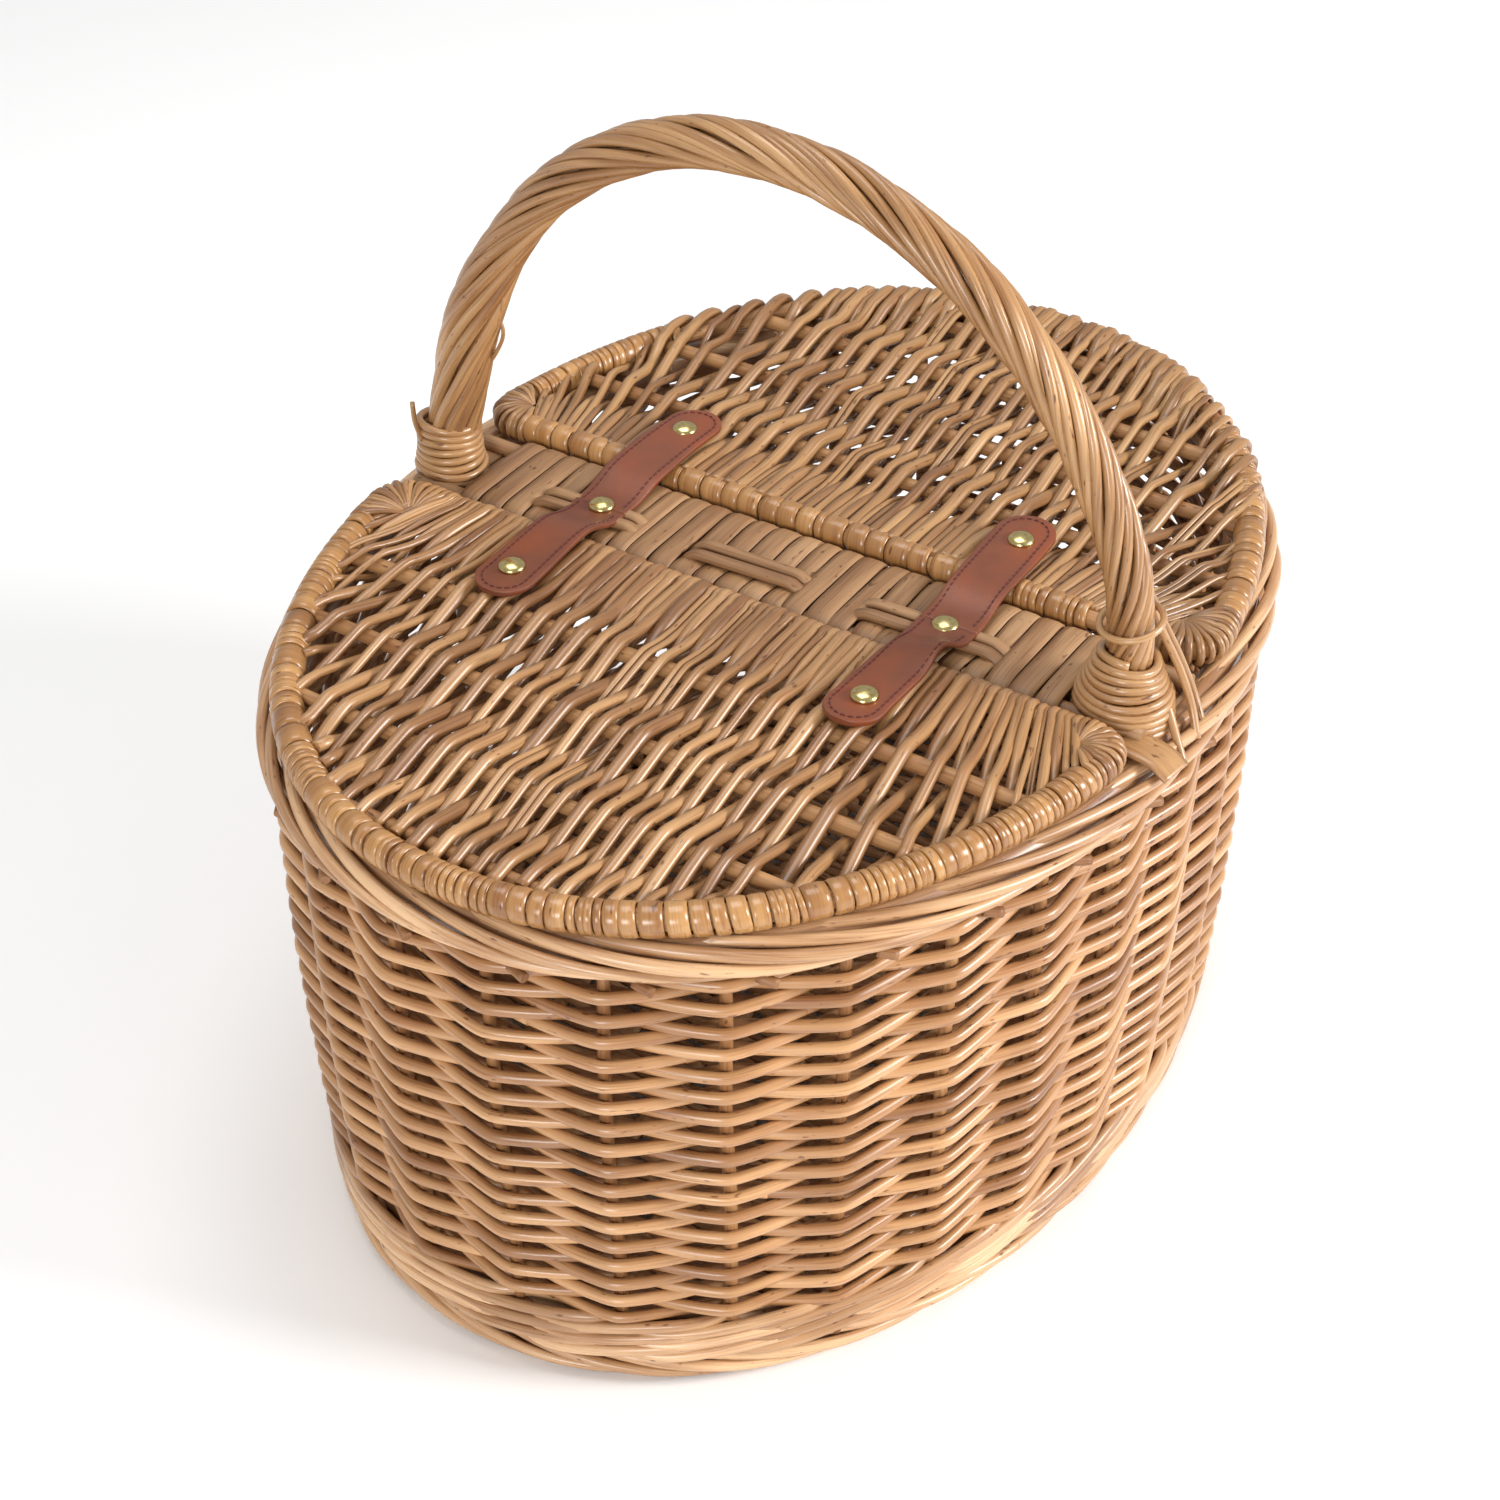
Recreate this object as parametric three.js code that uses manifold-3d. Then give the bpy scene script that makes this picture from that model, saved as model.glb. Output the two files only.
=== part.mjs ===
// An oval willow hamper with two D-shaped lids, a woven crossbar between them, a roped bow handle
// and two leather hinge straps.
// Millimetres, +X along the length, +Z up, origin on the floor below the middle.
import * as THREE from 'three';
import { mergeVertices } from 'three/addons/utils/BufferGeometryUtils.js';
import Module from 'manifold-3d';

const wasm = await Module();
wasm.setup();

// ---------- driving dimensions ----------

const GAP = 0.3; // between pieces that touch
const OVAL_POWER = 2.08; // squareness of the plan; 2 is a plain ellipse
const OVAL_STEPS = 48; // straight facets round the basket

const WALL_HALF_LENGTH = 211; // outside of the wall where the plain weave starts
const WALL_HALF_WIDTH = 159;
const WALL_FLARE = 4.5; // how much further out the wall is at its top
const WALL_THICKNESS = 12;
const WALL_HEIGHT = 164;
const WALE_HEIGHT = 16;
const BASE_THICKNESS = 8;

const FOOT_PAST_END = 2; // how far the foot border stands out past the wall at the basket's two ends
const FOOT_IN_FROM_SIDE = 3; // how far it stands in from the wall at the two long sides
const FOOT_BORDER_HEIGHT = 14;
const FOOT_BORDER_WIDTH = 17;
const FOOT_CHAMFER = 4;

const STAKE_COUNT = 30;
const STAKE_BUTT_RADIUS = 3;
const STAKE_TIP_RADIUS = 2.4;
const STAKE_PHASE = 0.43; // where the first stake stands, in stake spacings from +X
const STAKE_CLEARANCE = 0.35;

const RIM_HEIGHT = 15;
const RIM_WIDTH = 20;
const RIM_OVERHANG = 4.5; // how far the rim border stands out past the wall
const RIM_ROUND = 4;

const LID_IN_FROM_END = 5; // how far a lid stays inside the rim's edge at the basket's ends
const LID_IN_FROM_SIDE = 6; // and at its long sides
const LID_ROD = 12; // diameter of the wrapped frame rod
const LID_CORNER_RADIUS = 16; // centreline of the frame at the D's two corners
const LID_TO_BAR = 1.2;
const LID_CURVE_STEPS = 36; // facets along a lid's curved edge
const LID_CORNER_STEPS = 4;

const BAR_LEFT_EDGE = -28; // the woven crossbar's two long edges
const BAR_RIGHT_EDGE = 20;
const BAR_THICKNESS = 11;
const BAR_DROP = 3.8; // top of the crossbar below the top of the lids
const BAR_ROD_RADIUS = 3.2;
const BAR_ROD_INSET = 5.5; // centre of an edge rod in from the bar's edge
const BAR_ROD_TO_COLLAR = 1;

const HANDLE_IN_FROM_WALL = 20.5; // middle of a leg in from the outside of the wall's top
const HANDLE_RISE = 165.5; // from the arch's springing to the top of its centreline
const HANDLE_SPRING_ABOVE_RIM = 4.8; // from the underside of the lids to where the legs stand upright
const HANDLE_SHIFT = 3.5; // the whole arch stands a little towards +Y
const HANDLE_PLANE = -9; // and in a plane a little towards the left lid
const BOW_RADIUS = 6;
const BOW_FOOT_HEIGHT = 90; // how far down the bow's ends reach inside the wall
const BOW_TO_WALL = 1;
const ROPE_RADIUS = 9.6;
const ROPE_END_GAP = 1.8; // between the rope's end and the collar below it

const BACK_COLLAR = { top: 13, bottom: 15.5, height: 26 };
const FRONT_COLLAR = { top: 11, bottom: 17.5, height: 25 };
const RING_ROD_RADIUS = 1.4;
const RING_ABOVE_COLLAR = 12;

const STRAP_LENGTH = 144;
const STRAP_WIDTH = 22;
const STRAP_THICKNESS = 2.2;
const STRAP_SPACING = 146; // between the two straps' centrelines
const STRAP_SHIFT = 2.6; // the pair stands a little towards +Y
const STRAP_MIDDLE = -10; // the straps are centred a little towards the left lid
const STRAP_SPLIT = 0.4; // clearance between a strap's lid ends and its middle

const RIVET_RADIUS = 5;
const RIVET_DOME = 2.2;
const RIVET_FROM_STRAP_END = 16;
const RIVET_SHANK_RADIUS = 1.6;
const RIVET_GRIP = 4; // how far a shank goes into the weave

// ---------- heights and places that follow ----------

const WALE_BOTTOM = FOOT_BORDER_HEIGHT + GAP;
const WALL_BOTTOM = WALE_BOTTOM + WALE_HEIGHT + GAP;
const WALL_TOP = WALL_BOTTOM + WALL_HEIGHT;
const RIM_BOTTOM = WALL_TOP + GAP;
const RIM_TOP = RIM_BOTTOM + RIM_HEIGHT;
const LID_BOTTOM = RIM_TOP + GAP;
const LID_TOP = LID_BOTTOM + LID_ROD;
const BAR_TOP = LID_TOP - BAR_DROP;

const WALL_TOP_HALF_LENGTH = WALL_HALF_LENGTH + WALL_FLARE;
const WALL_TOP_HALF_WIDTH = WALL_HALF_WIDTH + WALL_FLARE;
const RIM_HALF_LENGTH = WALL_TOP_HALF_LENGTH + RIM_OVERHANG;
const RIM_HALF_WIDTH = WALL_TOP_HALF_WIDTH + RIM_OVERHANG;
const FOOT_HALF_LENGTH = WALL_HALF_LENGTH + FOOT_PAST_END;
const FOOT_HALF_WIDTH = WALL_HALF_WIDTH - FOOT_IN_FROM_SIDE;
const LID_HALF_LENGTH = RIM_HALF_LENGTH - LID_IN_FROM_END;
const LID_HALF_WIDTH = RIM_HALF_WIDTH - LID_IN_FROM_SIDE;
const HANDLE_HALF_SPAN = WALL_TOP_HALF_WIDTH - HANDLE_IN_FROM_WALL;
const HANDLE_SPRING = LID_BOTTOM + HANDLE_SPRING_ABOVE_RIM;
const RIVET_SPACING = STRAP_LENGTH / 2 - RIVET_FROM_STRAP_END;
const legY = (side) => HANDLE_SHIFT + side * HANDLE_HALF_SPAN; // 1 is the back leg, -1 the front one

// ---------- materials ----------

const willow = (color) => new THREE.MeshStandardMaterial({ color, roughness: 0.45, metalness: 0 });
const WALL_WILLOW = willow(0xb98a58);
const BORDER_WILLOW = willow(0xb48453);
const STAKE_WILLOW = willow(0x8f6440);
const LID_WILLOW = willow(0xb07b48);
const BAR_WILLOW = willow(0xa87d5a);
const HANDLE_WILLOW = willow(0xb58554);
const LEATHER = new THREE.MeshStandardMaterial({ color: 0x8a4b34, roughness: 0.5, metalness: 0 });
const BRASS = new THREE.MeshStandardMaterial({ color: 0xcdb45f, roughness: 0.22, metalness: 1 });

// ---------- shaping helpers ----------

const basket = new THREE.Group();

function piece(name, geometry, material) {
  const mesh = new THREE.Mesh(geometry, material);
  mesh.name = name;
  basket.add(mesh);
  return mesh;
}

// A point on an oval with these half axes; angle 0 is +X, a quarter turn is +Y.
function ovalPoint(halfLength, halfWidth, angle) {
  const bend = (value) => Math.sign(value) * Math.abs(value) ** (2 / OVAL_POWER);
  return [halfLength * bend(Math.cos(angle)), halfWidth * bend(Math.sin(angle))];
}

// Half the width of an oval at a place along its length.
function ovalHalfWidthAt(halfLength, halfWidth, x) {
  return halfWidth * (1 - (Math.abs(x) / halfLength) ** OVAL_POWER) ** (1 / OVAL_POWER);
}

function ovalShape(halfLength, halfWidth) {
  const points = [];
  for (let step = 0; step < OVAL_STEPS; step++) {
    points.push(new THREE.Vector2(...ovalPoint(halfLength, halfWidth, (step / OVAL_STEPS) * 2 * Math.PI)));
  }
  return new THREE.Shape(points);
}

// A closed ring: a torus whose section corners are sent to place(corner, share of the way round).
// The corners run from the outside over the top to the inside and back under.
function closedRing(corners, steps, place) {
  const geometry = new THREE.TorusGeometry(2, 1, corners, steps);
  const position = geometry.getAttribute('position');
  for (let i = 0; i < position.count; i++) {
    const corner = Math.floor(i / (steps + 1)) % corners;
    const step = (i % (steps + 1)) % steps;
    position.setXYZ(i, ...place(corner, step / steps));
  }
  return geometry;
}

// An oval ring whose section is a list of [half length, half width, height].
function ovalRing(section) {
  return closedRing(section.length, OVAL_STEPS, (corner, share) => {
    const [halfLength, halfWidth, height] = section[corner];
    return [...ovalPoint(halfLength, halfWidth, share * 2 * Math.PI), height];
  });
}

// A round rod from one point to another, tapering between two radii.
function straightRod(from, to, startRadius, endRadius, sides = 8) {
  const along = new THREE.Vector3().subVectors(to, from);
  const geometry = new THREE.CylinderGeometry(endRadius, startRadius, along.length(), sides);
  geometry.applyQuaternion(
    new THREE.Quaternion().setFromUnitVectors(new THREE.Vector3(0, 1, 0), along.clone().normalize()),
  );
  const middle = new THREE.Vector3().addVectors(from, to).multiplyScalar(0.5);
  return geometry.translate(middle.x, middle.y, middle.z);
}

function circleShape(radius, sides) {
  const points = [];
  for (let side = 0; side < sides; side++) {
    const angle = ((side + 0.5) / sides) * 2 * Math.PI;
    points.push(new THREE.Vector2(radius * Math.cos(angle), radius * Math.sin(angle)));
  }
  return new THREE.Shape(points);
}

// A turned piece standing on +Z, from a profile of [radius, height].
function turned(profile, sides) {
  const points = profile.map(([radius, height]) => new THREE.Vector2(radius, height));
  return new THREE.LatheGeometry(points, sides).rotateX(Math.PI / 2);
}

function toSolid(geometry) {
  const bare = geometry.clone();
  bare.deleteAttribute('normal');
  bare.deleteAttribute('uv');
  const merged = mergeVertices(bare, 1e-4);
  return new wasm.Manifold(
    new wasm.Mesh({
      numProp: 3,
      vertProperties: merged.getAttribute('position').array,
      triVerts: new Uint32Array(merged.index.array),
    }),
  );
}

function fromSolid(solid) {
  const mesh = solid.getMesh();
  const geometry = new THREE.BufferGeometry();
  geometry.setAttribute('position', new THREE.BufferAttribute(mesh.vertProperties, 3));
  geometry.setIndex(new THREE.BufferAttribute(mesh.triVerts, 1));
  return geometry;
}

// The geometry less every one of the cutters.
function cut(geometry, cutters) {
  let solid = toSolid(geometry);
  for (const cutter of cutters) solid = solid.subtract(toSolid(cutter));
  return fromSolid(solid);
}

// ---------- stakes: the upright rods that the wall is woven round ----------

// Angles that divide the wall's outline into equal lengths.
function evenAngles(count, phase) {
  const samples = 2880;
  const lengths = [0];
  let last = ovalPoint(WALL_HALF_LENGTH, WALL_HALF_WIDTH, 0);
  for (let i = 1; i <= samples; i++) {
    const next = ovalPoint(WALL_HALF_LENGTH, WALL_HALF_WIDTH, (i / samples) * 2 * Math.PI);
    lengths.push(lengths[i - 1] + Math.hypot(next[0] - last[0], next[1] - last[1]));
    last = next;
  }
  const angles = [];
  for (let stake = 0; stake < count; stake++) {
    const wanted = (((stake + phase) % count) / count) * lengths[samples];
    const i = lengths.findIndex((length) => length > wanted);
    const share = (wanted - lengths[i - 1]) / (lengths[i] - lengths[i - 1]);
    angles.push(((i - 1 + share) / samples) * 2 * Math.PI);
  }
  return angles;
}

// The middle of the wall's thickness at a height, carried on in a straight line below and above it.
function wallMiddle(angle, height) {
  const out = WALL_FLARE * ((height - WALL_BOTTOM) / WALL_HEIGHT) - WALL_THICKNESS / 2;
  return new THREE.Vector3(...ovalPoint(WALL_HALF_LENGTH + out, WALL_HALF_WIDTH + out, angle), height);
}

const stakeHoles = [];
const stakeAngles = evenAngles(STAKE_COUNT, STAKE_PHASE);
stakeAngles.forEach((angle, i) => {
  const foot = wallMiddle(angle, WALE_BOTTOM);
  const tip = wallMiddle(angle, WALL_TOP);
  const number = String(i + 1).padStart(2, '0');
  piece('stake_' + number, straightRod(foot, tip, STAKE_BUTT_RADIUS, STAKE_TIP_RADIUS), STAKE_WILLOW);
  const past = new THREE.Vector3().subVectors(tip, foot).normalize();
  stakeHoles.push(
    straightRod(
      foot.clone().sub(past),
      tip.clone().add(past),
      STAKE_BUTT_RADIUS + STAKE_CLEARANCE,
      STAKE_TIP_RADIUS + STAKE_CLEARANCE,
    ),
  );
});

// ---------- body: foot border, base, wale and wall ----------

const footInner = [FOOT_HALF_LENGTH - FOOT_BORDER_WIDTH, FOOT_HALF_WIDTH - FOOT_BORDER_WIDTH];
piece(
  'foot_border',
  ovalRing([
    [FOOT_HALF_LENGTH, FOOT_HALF_WIDTH, FOOT_CHAMFER],
    [FOOT_HALF_LENGTH, FOOT_HALF_WIDTH, FOOT_BORDER_HEIGHT],
    [...footInner, FOOT_BORDER_HEIGHT],
    [...footInner, FOOT_CHAMFER],
    [footInner[0] + FOOT_CHAMFER, footInner[1] + FOOT_CHAMFER, 0],
    [FOOT_HALF_LENGTH - FOOT_CHAMFER, FOOT_HALF_WIDTH - FOOT_CHAMFER, 0],
  ]),
  BORDER_WILLOW,
);

// The wale's inside is upright, and level with the inside of the wall above it.
const waleInner = [WALL_HALF_LENGTH - WALL_THICKNESS, WALL_HALF_WIDTH - WALL_THICKNESS];
piece(
  'bottom_wale',
  cut(
    ovalRing([
      [FOOT_HALF_LENGTH, FOOT_HALF_WIDTH, WALE_BOTTOM],
      [WALL_HALF_LENGTH, WALL_HALF_WIDTH, WALE_BOTTOM + WALE_HEIGHT],
      [...waleInner, WALE_BOTTOM + WALE_HEIGHT],
      [...waleInner, WALE_BOTTOM],
    ]),
    stakeHoles,
  ),
  BORDER_WILLOW,
);

piece(
  'base_panel',
  new THREE.ExtrudeGeometry(ovalShape(waleInner[0] - GAP, waleInner[1] - GAP), {
    depth: BASE_THICKNESS,
    bevelEnabled: false,
  }).translate(0, 0, WALE_BOTTOM),
  WALL_WILLOW,
);

piece(
  'wall_weave',
  cut(
    ovalRing([
      [WALL_HALF_LENGTH, WALL_HALF_WIDTH, WALL_BOTTOM],
      [WALL_TOP_HALF_LENGTH, WALL_TOP_HALF_WIDTH, WALL_TOP],
      [WALL_TOP_HALF_LENGTH - WALL_THICKNESS, WALL_TOP_HALF_WIDTH - WALL_THICKNESS, WALL_TOP],
      [waleInner[0], waleInner[1], WALL_BOTTOM],
    ]),
    stakeHoles,
  ),
  WALL_WILLOW,
);

// ---------- handle: bow, rope, collars ----------

// The middle of the bow where it lies against the inside of the wall at a height.
function bowBesideWall(height) {
  const wallInner =
    WALL_HALF_WIDTH - WALL_THICKNESS + (WALL_FLARE * (height - WALL_BOTTOM)) / WALL_HEIGHT;
  return wallInner - BOW_RADIUS - BOW_TO_WALL;
}

// A leg lies against the wall, steps out over the rim and turns into half an ellipse,
// and so down the other side.
class BowLine extends THREE.CurvePath {
  constructor() {
    super();
    const legs = [1, -1].map((side) => [
      new THREE.Vector3(HANDLE_PLANE, side * bowBesideWall(BOW_FOOT_HEIGHT), BOW_FOOT_HEIGHT),
      new THREE.Vector3(HANDLE_PLANE, side * bowBesideWall(WALL_TOP), WALL_TOP),
      new THREE.Vector3(HANDLE_PLANE, legY(side), HANDLE_SPRING),
    ]);
    this.add(new THREE.LineCurve3(legs[0][0], legs[0][1]));
    this.add(new THREE.LineCurve3(legs[0][1], legs[0][2]));
    this.add(new HandleArch(0, Math.PI));
    this.add(new THREE.LineCurve3(legs[1][2], legs[1][1]));
    this.add(new THREE.LineCurve3(legs[1][1], legs[1][0]));
  }
}

// Part of the arch's ellipse, from one angle above the springing at +Y to another.
class HandleArch extends THREE.Curve {
  constructor(start, end) {
    super();
    this.start = start;
    this.end = end;
  }

  getPoint(share, target = new THREE.Vector3()) {
    const angle = this.start + (this.end - this.start) * share;
    return target.set(
      HANDLE_PLANE,
      HANDLE_SHIFT + HANDLE_HALF_SPAN * Math.cos(angle),
      HANDLE_SPRING + HANDLE_RISE * Math.sin(angle),
    );
  }
}

function bowRod(radius) {
  return new THREE.ExtrudeGeometry(circleShape(radius, 10), {
    steps: 44,
    bevelEnabled: false,
    extrudePath: new BowLine(),
  });
}

const bowHole = bowRod(BOW_RADIUS + GAP);
piece('handle_bow', bowRod(BOW_RADIUS), HANDLE_WILLOW);

// The angle up the arch at a height above the springing.
const archAngleAt = (height) => Math.asin((height - HANDLE_SPRING) / HANDLE_RISE);
const backCollarTop = LID_BOTTOM + BACK_COLLAR.height;
const frontCollarTop = LID_BOTTOM + FRONT_COLLAR.height;
const ropeStart = archAngleAt(backCollarTop + ROPE_END_GAP);
const ropeEnd = Math.PI - archAngleAt(frontCollarTop + ROPE_END_GAP);
const rope = new THREE.ExtrudeGeometry(circleShape(ROPE_RADIUS, 12), {
  steps: 36,
  bevelEnabled: false,
  extrudePath: new HandleArch(ropeStart, ropeEnd),
});
piece('handle_rope', cut(rope, [bowHole]), HANDLE_WILLOW);

const collarHoles = [];
for (const [name, side, collar] of [['back', 1, BACK_COLLAR], ['front', -1, FRONT_COLLAR]]) {
  const cone = new THREE.CylinderGeometry(collar.top, collar.bottom, collar.height, 16)
    .rotateX(Math.PI / 2)
    .translate(HANDLE_PLANE, legY(side), LID_BOTTOM + collar.height / 2);
  piece('handle_collar_' + name, cut(cone, [bowHole]), HANDLE_WILLOW);
  collarHoles.push(
    new THREE.CylinderGeometry(collar.bottom + GAP, collar.bottom + GAP, 4 * BAR_THICKNESS, 16)
      .rotateX(Math.PI / 2)
      .translate(HANDLE_PLANE, legY(side), BAR_TOP),
  );
}

// A loose hoop of thin willow round the rope above the front collar.
const ringAngle = Math.PI - archAngleAt(frontCollarTop + RING_ABOVE_COLLAR);
const ringPlace = new HandleArch(ringAngle, ringAngle).getPoint(0);
const ringLean = Math.atan2(
  HANDLE_HALF_SPAN * Math.sin(ringAngle),
  -HANDLE_RISE * Math.cos(ringAngle),
);
const ring = piece(
  'handle_ring',
  new THREE.TorusGeometry(ROPE_RADIUS + 2 * GAP + RING_ROD_RADIUS, RING_ROD_RADIUS, 6, 20),
  HANDLE_WILLOW,
);
ring.position.copy(ringPlace);
ring.rotation.x = -ringLean;

// ---------- rim border ----------

const rimInner = [RIM_HALF_LENGTH - RIM_WIDTH, RIM_HALF_WIDTH - RIM_WIDTH];
piece(
  'rim_border',
  cut(
    ovalRing([
      [WALL_TOP_HALF_LENGTH, WALL_TOP_HALF_WIDTH, RIM_BOTTOM],
      [RIM_HALF_LENGTH, RIM_HALF_WIDTH, RIM_BOTTOM + RIM_ROUND],
      [RIM_HALF_LENGTH, RIM_HALF_WIDTH, RIM_TOP - RIM_ROUND],
      [RIM_HALF_LENGTH - RIM_ROUND, RIM_HALF_WIDTH - RIM_ROUND, RIM_TOP],
      [...rimInner, RIM_TOP],
      [...rimInner, RIM_BOTTOM],
    ]),
    [bowHole],
  ),
  BORDER_WILLOW,
);

// ---------- rivets ----------

// A rivet's shank goes this far into the weave under the strap.
const shankLength = STRAP_THICKNESS + GAP + RIVET_GRIP;

// A dome-headed rivet standing on its strap, whose top is at this height.
function rivet(x, y, strapTop) {
  const underHead = strapTop + GAP;
  const dome = [];
  const domeSteps = 4;
  for (let step = 0; step <= domeSteps; step++) {
    const turn = (step / domeSteps) * (Math.PI / 2);
    dome.push([RIVET_RADIUS * Math.cos(turn), underHead + RIVET_DOME * Math.sin(turn)]);
  }
  const profile = [
    [0, strapTop - shankLength],
    [RIVET_SHANK_RADIUS, strapTop - shankLength],
    [RIVET_SHANK_RADIUS, underHead],
    ...dome.slice(0, -1),
    [0, underHead + RIVET_DOME],
  ];
  return turned(profile, 16).translate(x, y, 0);
}

function rivetHole(x, y, strapTop) {
  const radius = RIVET_SHANK_RADIUS + GAP;
  const bottom = strapTop - shankLength - GAP;
  const top = strapTop + RIVET_DOME;
  return new THREE.CylinderGeometry(radius, radius, top - bottom, 8)
    .rotateX(Math.PI / 2)
    .translate(x, y, (top + bottom) / 2);
}

const lidStrapTop = LID_TOP + GAP + STRAP_THICKNESS;
const barStrapTop = BAR_TOP + GAP + STRAP_THICKNESS;
const straps = [
  { name: 'back', y: STRAP_SHIFT + STRAP_SPACING / 2 },
  { name: 'front', y: STRAP_SHIFT - STRAP_SPACING / 2 },
];

// ---------- crossbar between the lids ----------

const barHalfSpan =
  ovalHalfWidthAt(rimInner[0], rimInner[1], Math.max(-BAR_LEFT_EDGE, BAR_RIGHT_EDGE)) - 2 * GAP;
const barRodZ = BAR_TOP - BAR_THICKNESS / 2;
const barRodFront = legY(-1) + FRONT_COLLAR.bottom + BAR_ROD_TO_COLLAR;
const barRodBack = legY(1) - BACK_COLLAR.bottom - BAR_ROD_TO_COLLAR;
const barRivetHoles = straps.map((strap) => rivetHole(STRAP_MIDDLE, strap.y, barStrapTop));
const barRodHoles = [];
for (const [name, x] of [
  ['left', BAR_LEFT_EDGE + BAR_ROD_INSET],
  ['middle', (BAR_LEFT_EDGE + BAR_RIGHT_EDGE) / 2],
  ['right', BAR_RIGHT_EDGE - BAR_ROD_INSET],
]) {
  const rod = straightRod(
    new THREE.Vector3(x, barRodFront, barRodZ),
    new THREE.Vector3(x, barRodBack, barRodZ),
    BAR_ROD_RADIUS,
    BAR_ROD_RADIUS,
  );
  piece('crossbar_rod_' + name, cut(rod, barRivetHoles), STAKE_WILLOW);
  // Each hole runs out through both ends of the weave.
  barRodHoles.push(
    straightRod(
      new THREE.Vector3(x, -barHalfSpan - 1, barRodZ),
      new THREE.Vector3(x, barHalfSpan + 1, barRodZ),
      BAR_ROD_RADIUS + STAKE_CLEARANCE,
      BAR_ROD_RADIUS + STAKE_CLEARANCE,
    ),
  );
}

const barWeave = new THREE.BoxGeometry(BAR_RIGHT_EDGE - BAR_LEFT_EDGE, 2 * barHalfSpan, BAR_THICKNESS);
barWeave.translate((BAR_LEFT_EDGE + BAR_RIGHT_EDGE) / 2, 0, barRodZ);
piece(
  'crossbar_weave',
  cut(barWeave, [...barRodHoles, ...collarHoles, bowHole, ...barRivetHoles]),
  BAR_WILLOW,
);

// ---------- lids ----------

// A D-shaped loop on the +X side: an oval cut off straight at edge, with its two corners rounded.
// It is a sharp-cornered D grown outwards by the corner radius, so insets of it stay parallel.
function lidOutline(halfLength, halfWidth, edge, cornerRadius) {
  const innerLength = halfLength - cornerRadius;
  const innerWidth = halfWidth - cornerRadius;
  const reach = Math.acos(((edge + cornerRadius) / innerLength) ** (OVAL_POWER / 2));
  const points = [];
  const add = (x, y, direction) => {
    const corner = new THREE.Vector2(Math.cos(direction), Math.sin(direction)).multiplyScalar(cornerRadius);
    points.push(corner.add(new THREE.Vector2(x, y)));
  };
  const facing = (x, y) =>
    Math.atan2(
      Math.sign(y) * Math.abs(y) ** (OVAL_POWER - 1) / innerWidth ** OVAL_POWER,
      x ** (OVAL_POWER - 1) / innerLength ** OVAL_POWER,
    );
  for (let step = 0; step <= LID_CURVE_STEPS; step++) {
    const [x, y] = ovalPoint(innerLength, innerWidth, reach * ((2 * step) / LID_CURVE_STEPS - 1));
    add(x, y, facing(x, y));
  }
  const [cornerX, cornerY] = ovalPoint(innerLength, innerWidth, reach);
  const startTurn = facing(cornerX, cornerY);
  for (let step = 1; step <= LID_CORNER_STEPS; step++) {
    add(cornerX, cornerY, startTurn + (Math.PI - startTurn) * (step / LID_CORNER_STEPS));
  }
  for (let step = 0; step < LID_CORNER_STEPS; step++) {
    add(cornerX, -cornerY, Math.PI + (Math.PI - startTurn) * (step / LID_CORNER_STEPS));
  }
  return points;
}

// A round rod bent along a closed outline.
function bentLoop(points, radius, height) {
  const sides = 8;
  return closedRing(sides, points.length, (corner, share) => {
    const i = Math.round(share * points.length);
    const point = points[i];
    const before = points[(i + points.length - 1) % points.length];
    const after = points[(i + 1) % points.length];
    const along = after.clone().sub(before).normalize();
    const turn = (corner / sides) * 2 * Math.PI;
    const out = radius * Math.cos(turn);
    return [point.x + along.y * out, point.y - along.x * out, height + radius * Math.sin(turn)];
  });
}

// The same loop on the -X side, still running the same way round.
const mirrored = (points) => points.map((p) => new THREE.Vector2(-p.x, p.y)).reverse();

const LID_RADIUS = LID_ROD / 2;
const lids = [
  { name: 'left', side: -1, edge: -BAR_LEFT_EDGE + LID_TO_BAR, toSide: mirrored },
  { name: 'right', side: 1, edge: BAR_RIGHT_EDGE + LID_TO_BAR, toSide: (points) => points },
];
const insetOutline = (lid, inset) =>
  lid.toSide(
    lidOutline(
      LID_HALF_LENGTH - inset,
      LID_HALF_WIDTH - inset,
      lid.edge + inset,
      LID_CORNER_RADIUS - inset,
    ),
  );

// ---------- straps ----------

// The strap's end on a lid: straight from the hinge line, round at its outer end.
function strapEnd(lid, y) {
  const half = STRAP_WIDTH / 2;
  const straightEnd = STRAP_LENGTH / 2 + lid.side * STRAP_MIDDLE - half;
  const points = [];
  const endSteps = 8;
  for (let step = 0; step <= endSteps; step++) {
    const turn = (step / endSteps - 0.5) * Math.PI;
    points.push(new THREE.Vector2(straightEnd + half * Math.cos(turn), half * Math.sin(turn)));
  }
  const start = lid.edge - LID_TO_BAR / 2 + STRAP_SPLIT / 2;
  points.push(new THREE.Vector2(start, half), new THREE.Vector2(start, -half));
  return new THREE.ExtrudeGeometry(new THREE.Shape(lid.toSide(points)), {
    depth: STRAP_THICKNESS,
    bevelEnabled: false,
  }).translate(0, y, LID_TOP + GAP);
}

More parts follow.
